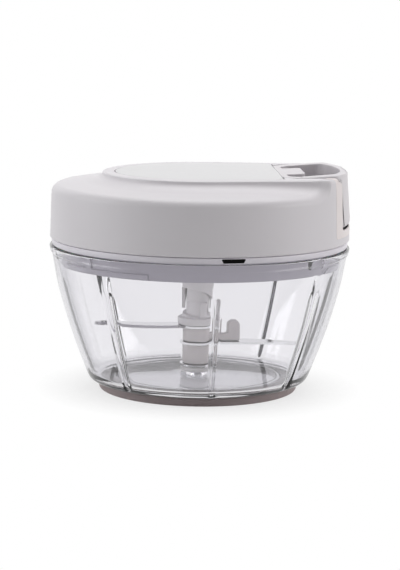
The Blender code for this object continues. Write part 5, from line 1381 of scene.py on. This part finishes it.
def make_screws():
    lower = [(SCREW_HEAD - inset, rise) for inset, rise in
             ((1.3 * mm, 0), (0.6 * mm, 0.2 * mm), (0.15 * mm, 0.6 * mm))]
    upper = [(SCREW_HEAD, 0.4 * mm), (SCREW_HEAD - 0.1 * mm, 0)]
    for number, angle in enumerate(BOSS_ANGLES, 1):
        make_screw(f"housing_screw_{number}", f"cross_screw_{number}", polar(BOSS_CIRCLE, angle),
                   PLATE_HEIGHT - SEAT_GAP, lower, upper, SCREW_SHANK, (1.6 * mm, 1.0 * mm))
    low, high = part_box("retaining_washer")
    make_screw("retaining_screw", "centre_screw", (0, 0, 0), low.z - SEAT_GAP,
               [(2.2 * mm, 0), (3.0 * mm, 0.35 * mm), (3.5 * mm, 1.0 * mm)],
               [(3.6 * mm, 0.3 * mm), (3.5 * mm, 0)], 1.3 * mm, (2.0 * mm, 1.2 * mm))
    washer = turned(0.15 * mm, WASHER_BORE, low.z, high.x, high.z)
    piece(washer, "centre_washer", "lid_body", TURNED_STEEL, "steel", "retaining_washer")


# Stage

def straight_rays(graph):
    """One for a ray from the camera, a gloss or a clear body, and nothing for scattered light."""
    rays = graph.add("LightPath").outputs
    seen = graph.math('MAXIMUM', rays["Is Camera Ray"], rays["Is Transmission Ray"])
    return graph.math('MAXIMUM', seen, rays["Is Glossy Ray"])


def white_world():
    """Even light for the object, and white wherever the camera, a gloss or the clear bowl sees past it."""
    world = bpy.data.worlds.new("studio")
    bpy.context.scene.world = world
    graph = Graph(world)
    graph.feed(graph.nodes["Background"], Color=(1, 1, 1, 1),
               Strength=graph.vary(straight_rays(graph), WORLD_LEVEL, 1, 0, 1))


def white_floor():
    """A pale table that looks white and keeps the object's shadow."""
    mesh = bpy.data.meshes.new("floor")
    square = stepped(-FLOOR_HALF, -FLOOR_HALF, FLOOR_HALF, FLOOR_HALF)
    mesh.from_pydata([(x, y, 0) for x, y in square], [], [(0, 1, 2, 3)])
    floor = add_object("floor", mesh)
    floor.location.z = -0.05 * mm
    material = bpy.data.materials.new("white_table")
    graph = Graph(material)
    graph.nodes.clear()
    distance = graph.add("VectorMath")
    distance.operation = 'LENGTH'
    graph.links.new(graph.add("TexCoord").outputs["Object"], distance.inputs[0])
    fade = graph.vary(distance.outputs["Value"], SHADOW_SHARE, 1, SHADOW_START, SHADOW_END)
    mix = graph.add("MixShader", Fac=graph.math('MULTIPLY', straight_rays(graph), fade))
    graph.links.new(graph.add("BsdfDiffuse", Color=(0.9, 0.9, 0.9, 1)).outputs[0], mix.inputs[1])
    graph.links.new(graph.add("Emission", Strength=1.0).outputs[0], mix.inputs[2])
    graph.add("OutputMaterial", Surface=mix.outputs[0])
    mesh.materials.append(material)


def softbox(name, place, aim, width, height, level, colour):
    """An area light whose level is the share of plain white that it adds to a surface facing it."""
    light = bpy.data.lights.new(name, 'AREA')
    light.shape = 'RECTANGLE'
    light.size = width
    light.size_y = height
    light.color = colour
    beam = Vector(aim) - Vector(place)
    light.energy = level * pi ** 2 * beam.length ** 2
    obj = add_object(name, light)
    obj.location = place
    obj.rotation_euler = beam.to_track_quat('-Z', 'Y').to_euler()


def camera():
    data = bpy.data.cameras.new("camera")
    data.sensor_fit = 'VERTICAL'
    data.sensor_height = 36
    data.lens = FOCAL_PIXELS / IMAGE_HEIGHT * data.sensor_height
    data.clip_start = 0.01
    data.clip_end = 50
    obj = add_object("camera", data)
    turn = Matrix.Rotation(CAMERA_TURN, 4, 'Z')
    tilt = Matrix.Rotation(pi / 2 - CAMERA_PITCH, 4, 'X')
    roll = Matrix.Rotation(CAMERA_ROLL, 4, 'Z')
    place = turn @ Vector((0, -CAMERA_DISTANCE, CAMERA_HEIGHT))
    yaw = Matrix.Rotation(CAMERA_YAW, 4, 'Z')
    obj.matrix_world = Matrix.Translation(place) @ yaw @ turn @ tilt @ roll
    bpy.context.scene.camera = obj


bpy.context.scene.view_settings.view_transform = 'Standard'
camera()
white_world()
white_floor()
softbox("top_light", (0.05, 0.22, 1.0), (0, 0, 0.08), 0.9, 0.9, 0.77, (1.0, 1.0, 1.0))
softbox("left_light", (-1.2, -0.1, 0.45), (0, 0, 0.07), 0.9, 0.8, 0.34, (0.985, 0.995, 1.0))
softbox("right_light", (1.2, -0.3, 0.45), (0, 0, 0.07), 0.9, 0.8, 0.33, (1.0, 0.985, 0.98))

make_bowl()
make_foot()
make_pin()
make_tower()
make_tower_foot()
make_spacer("lower_spacer", 8.6 * mm, CROSS_ANGLE)
make_spacer("upper_spacer", 6.0 * mm, BLADE_ANGLE)
make_blade("blade_bottom", CROSS_ANGLE)
make_blade("blade_middle", BLADE_ANGLE)
make_blade("blade_top", BLADE_ANGLE + 180 * deg)
make_lid_base()
make_gasket()
make_cover()
make_lip()
make_inlay()
make_handle()
make_winding()
make_cord()
make_fittings()
make_hub()
make_bush()
make_screws()
for node, material in (("centre_axle", TURNED_STEEL), ("cord_spool", NYLON), ("spool_cap", NYLON),
                       ("main_spring", SPRING_STEEL), ("pawl_front", NYLON), ("pawl_rear", NYLON)):
    coat(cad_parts[node], material)
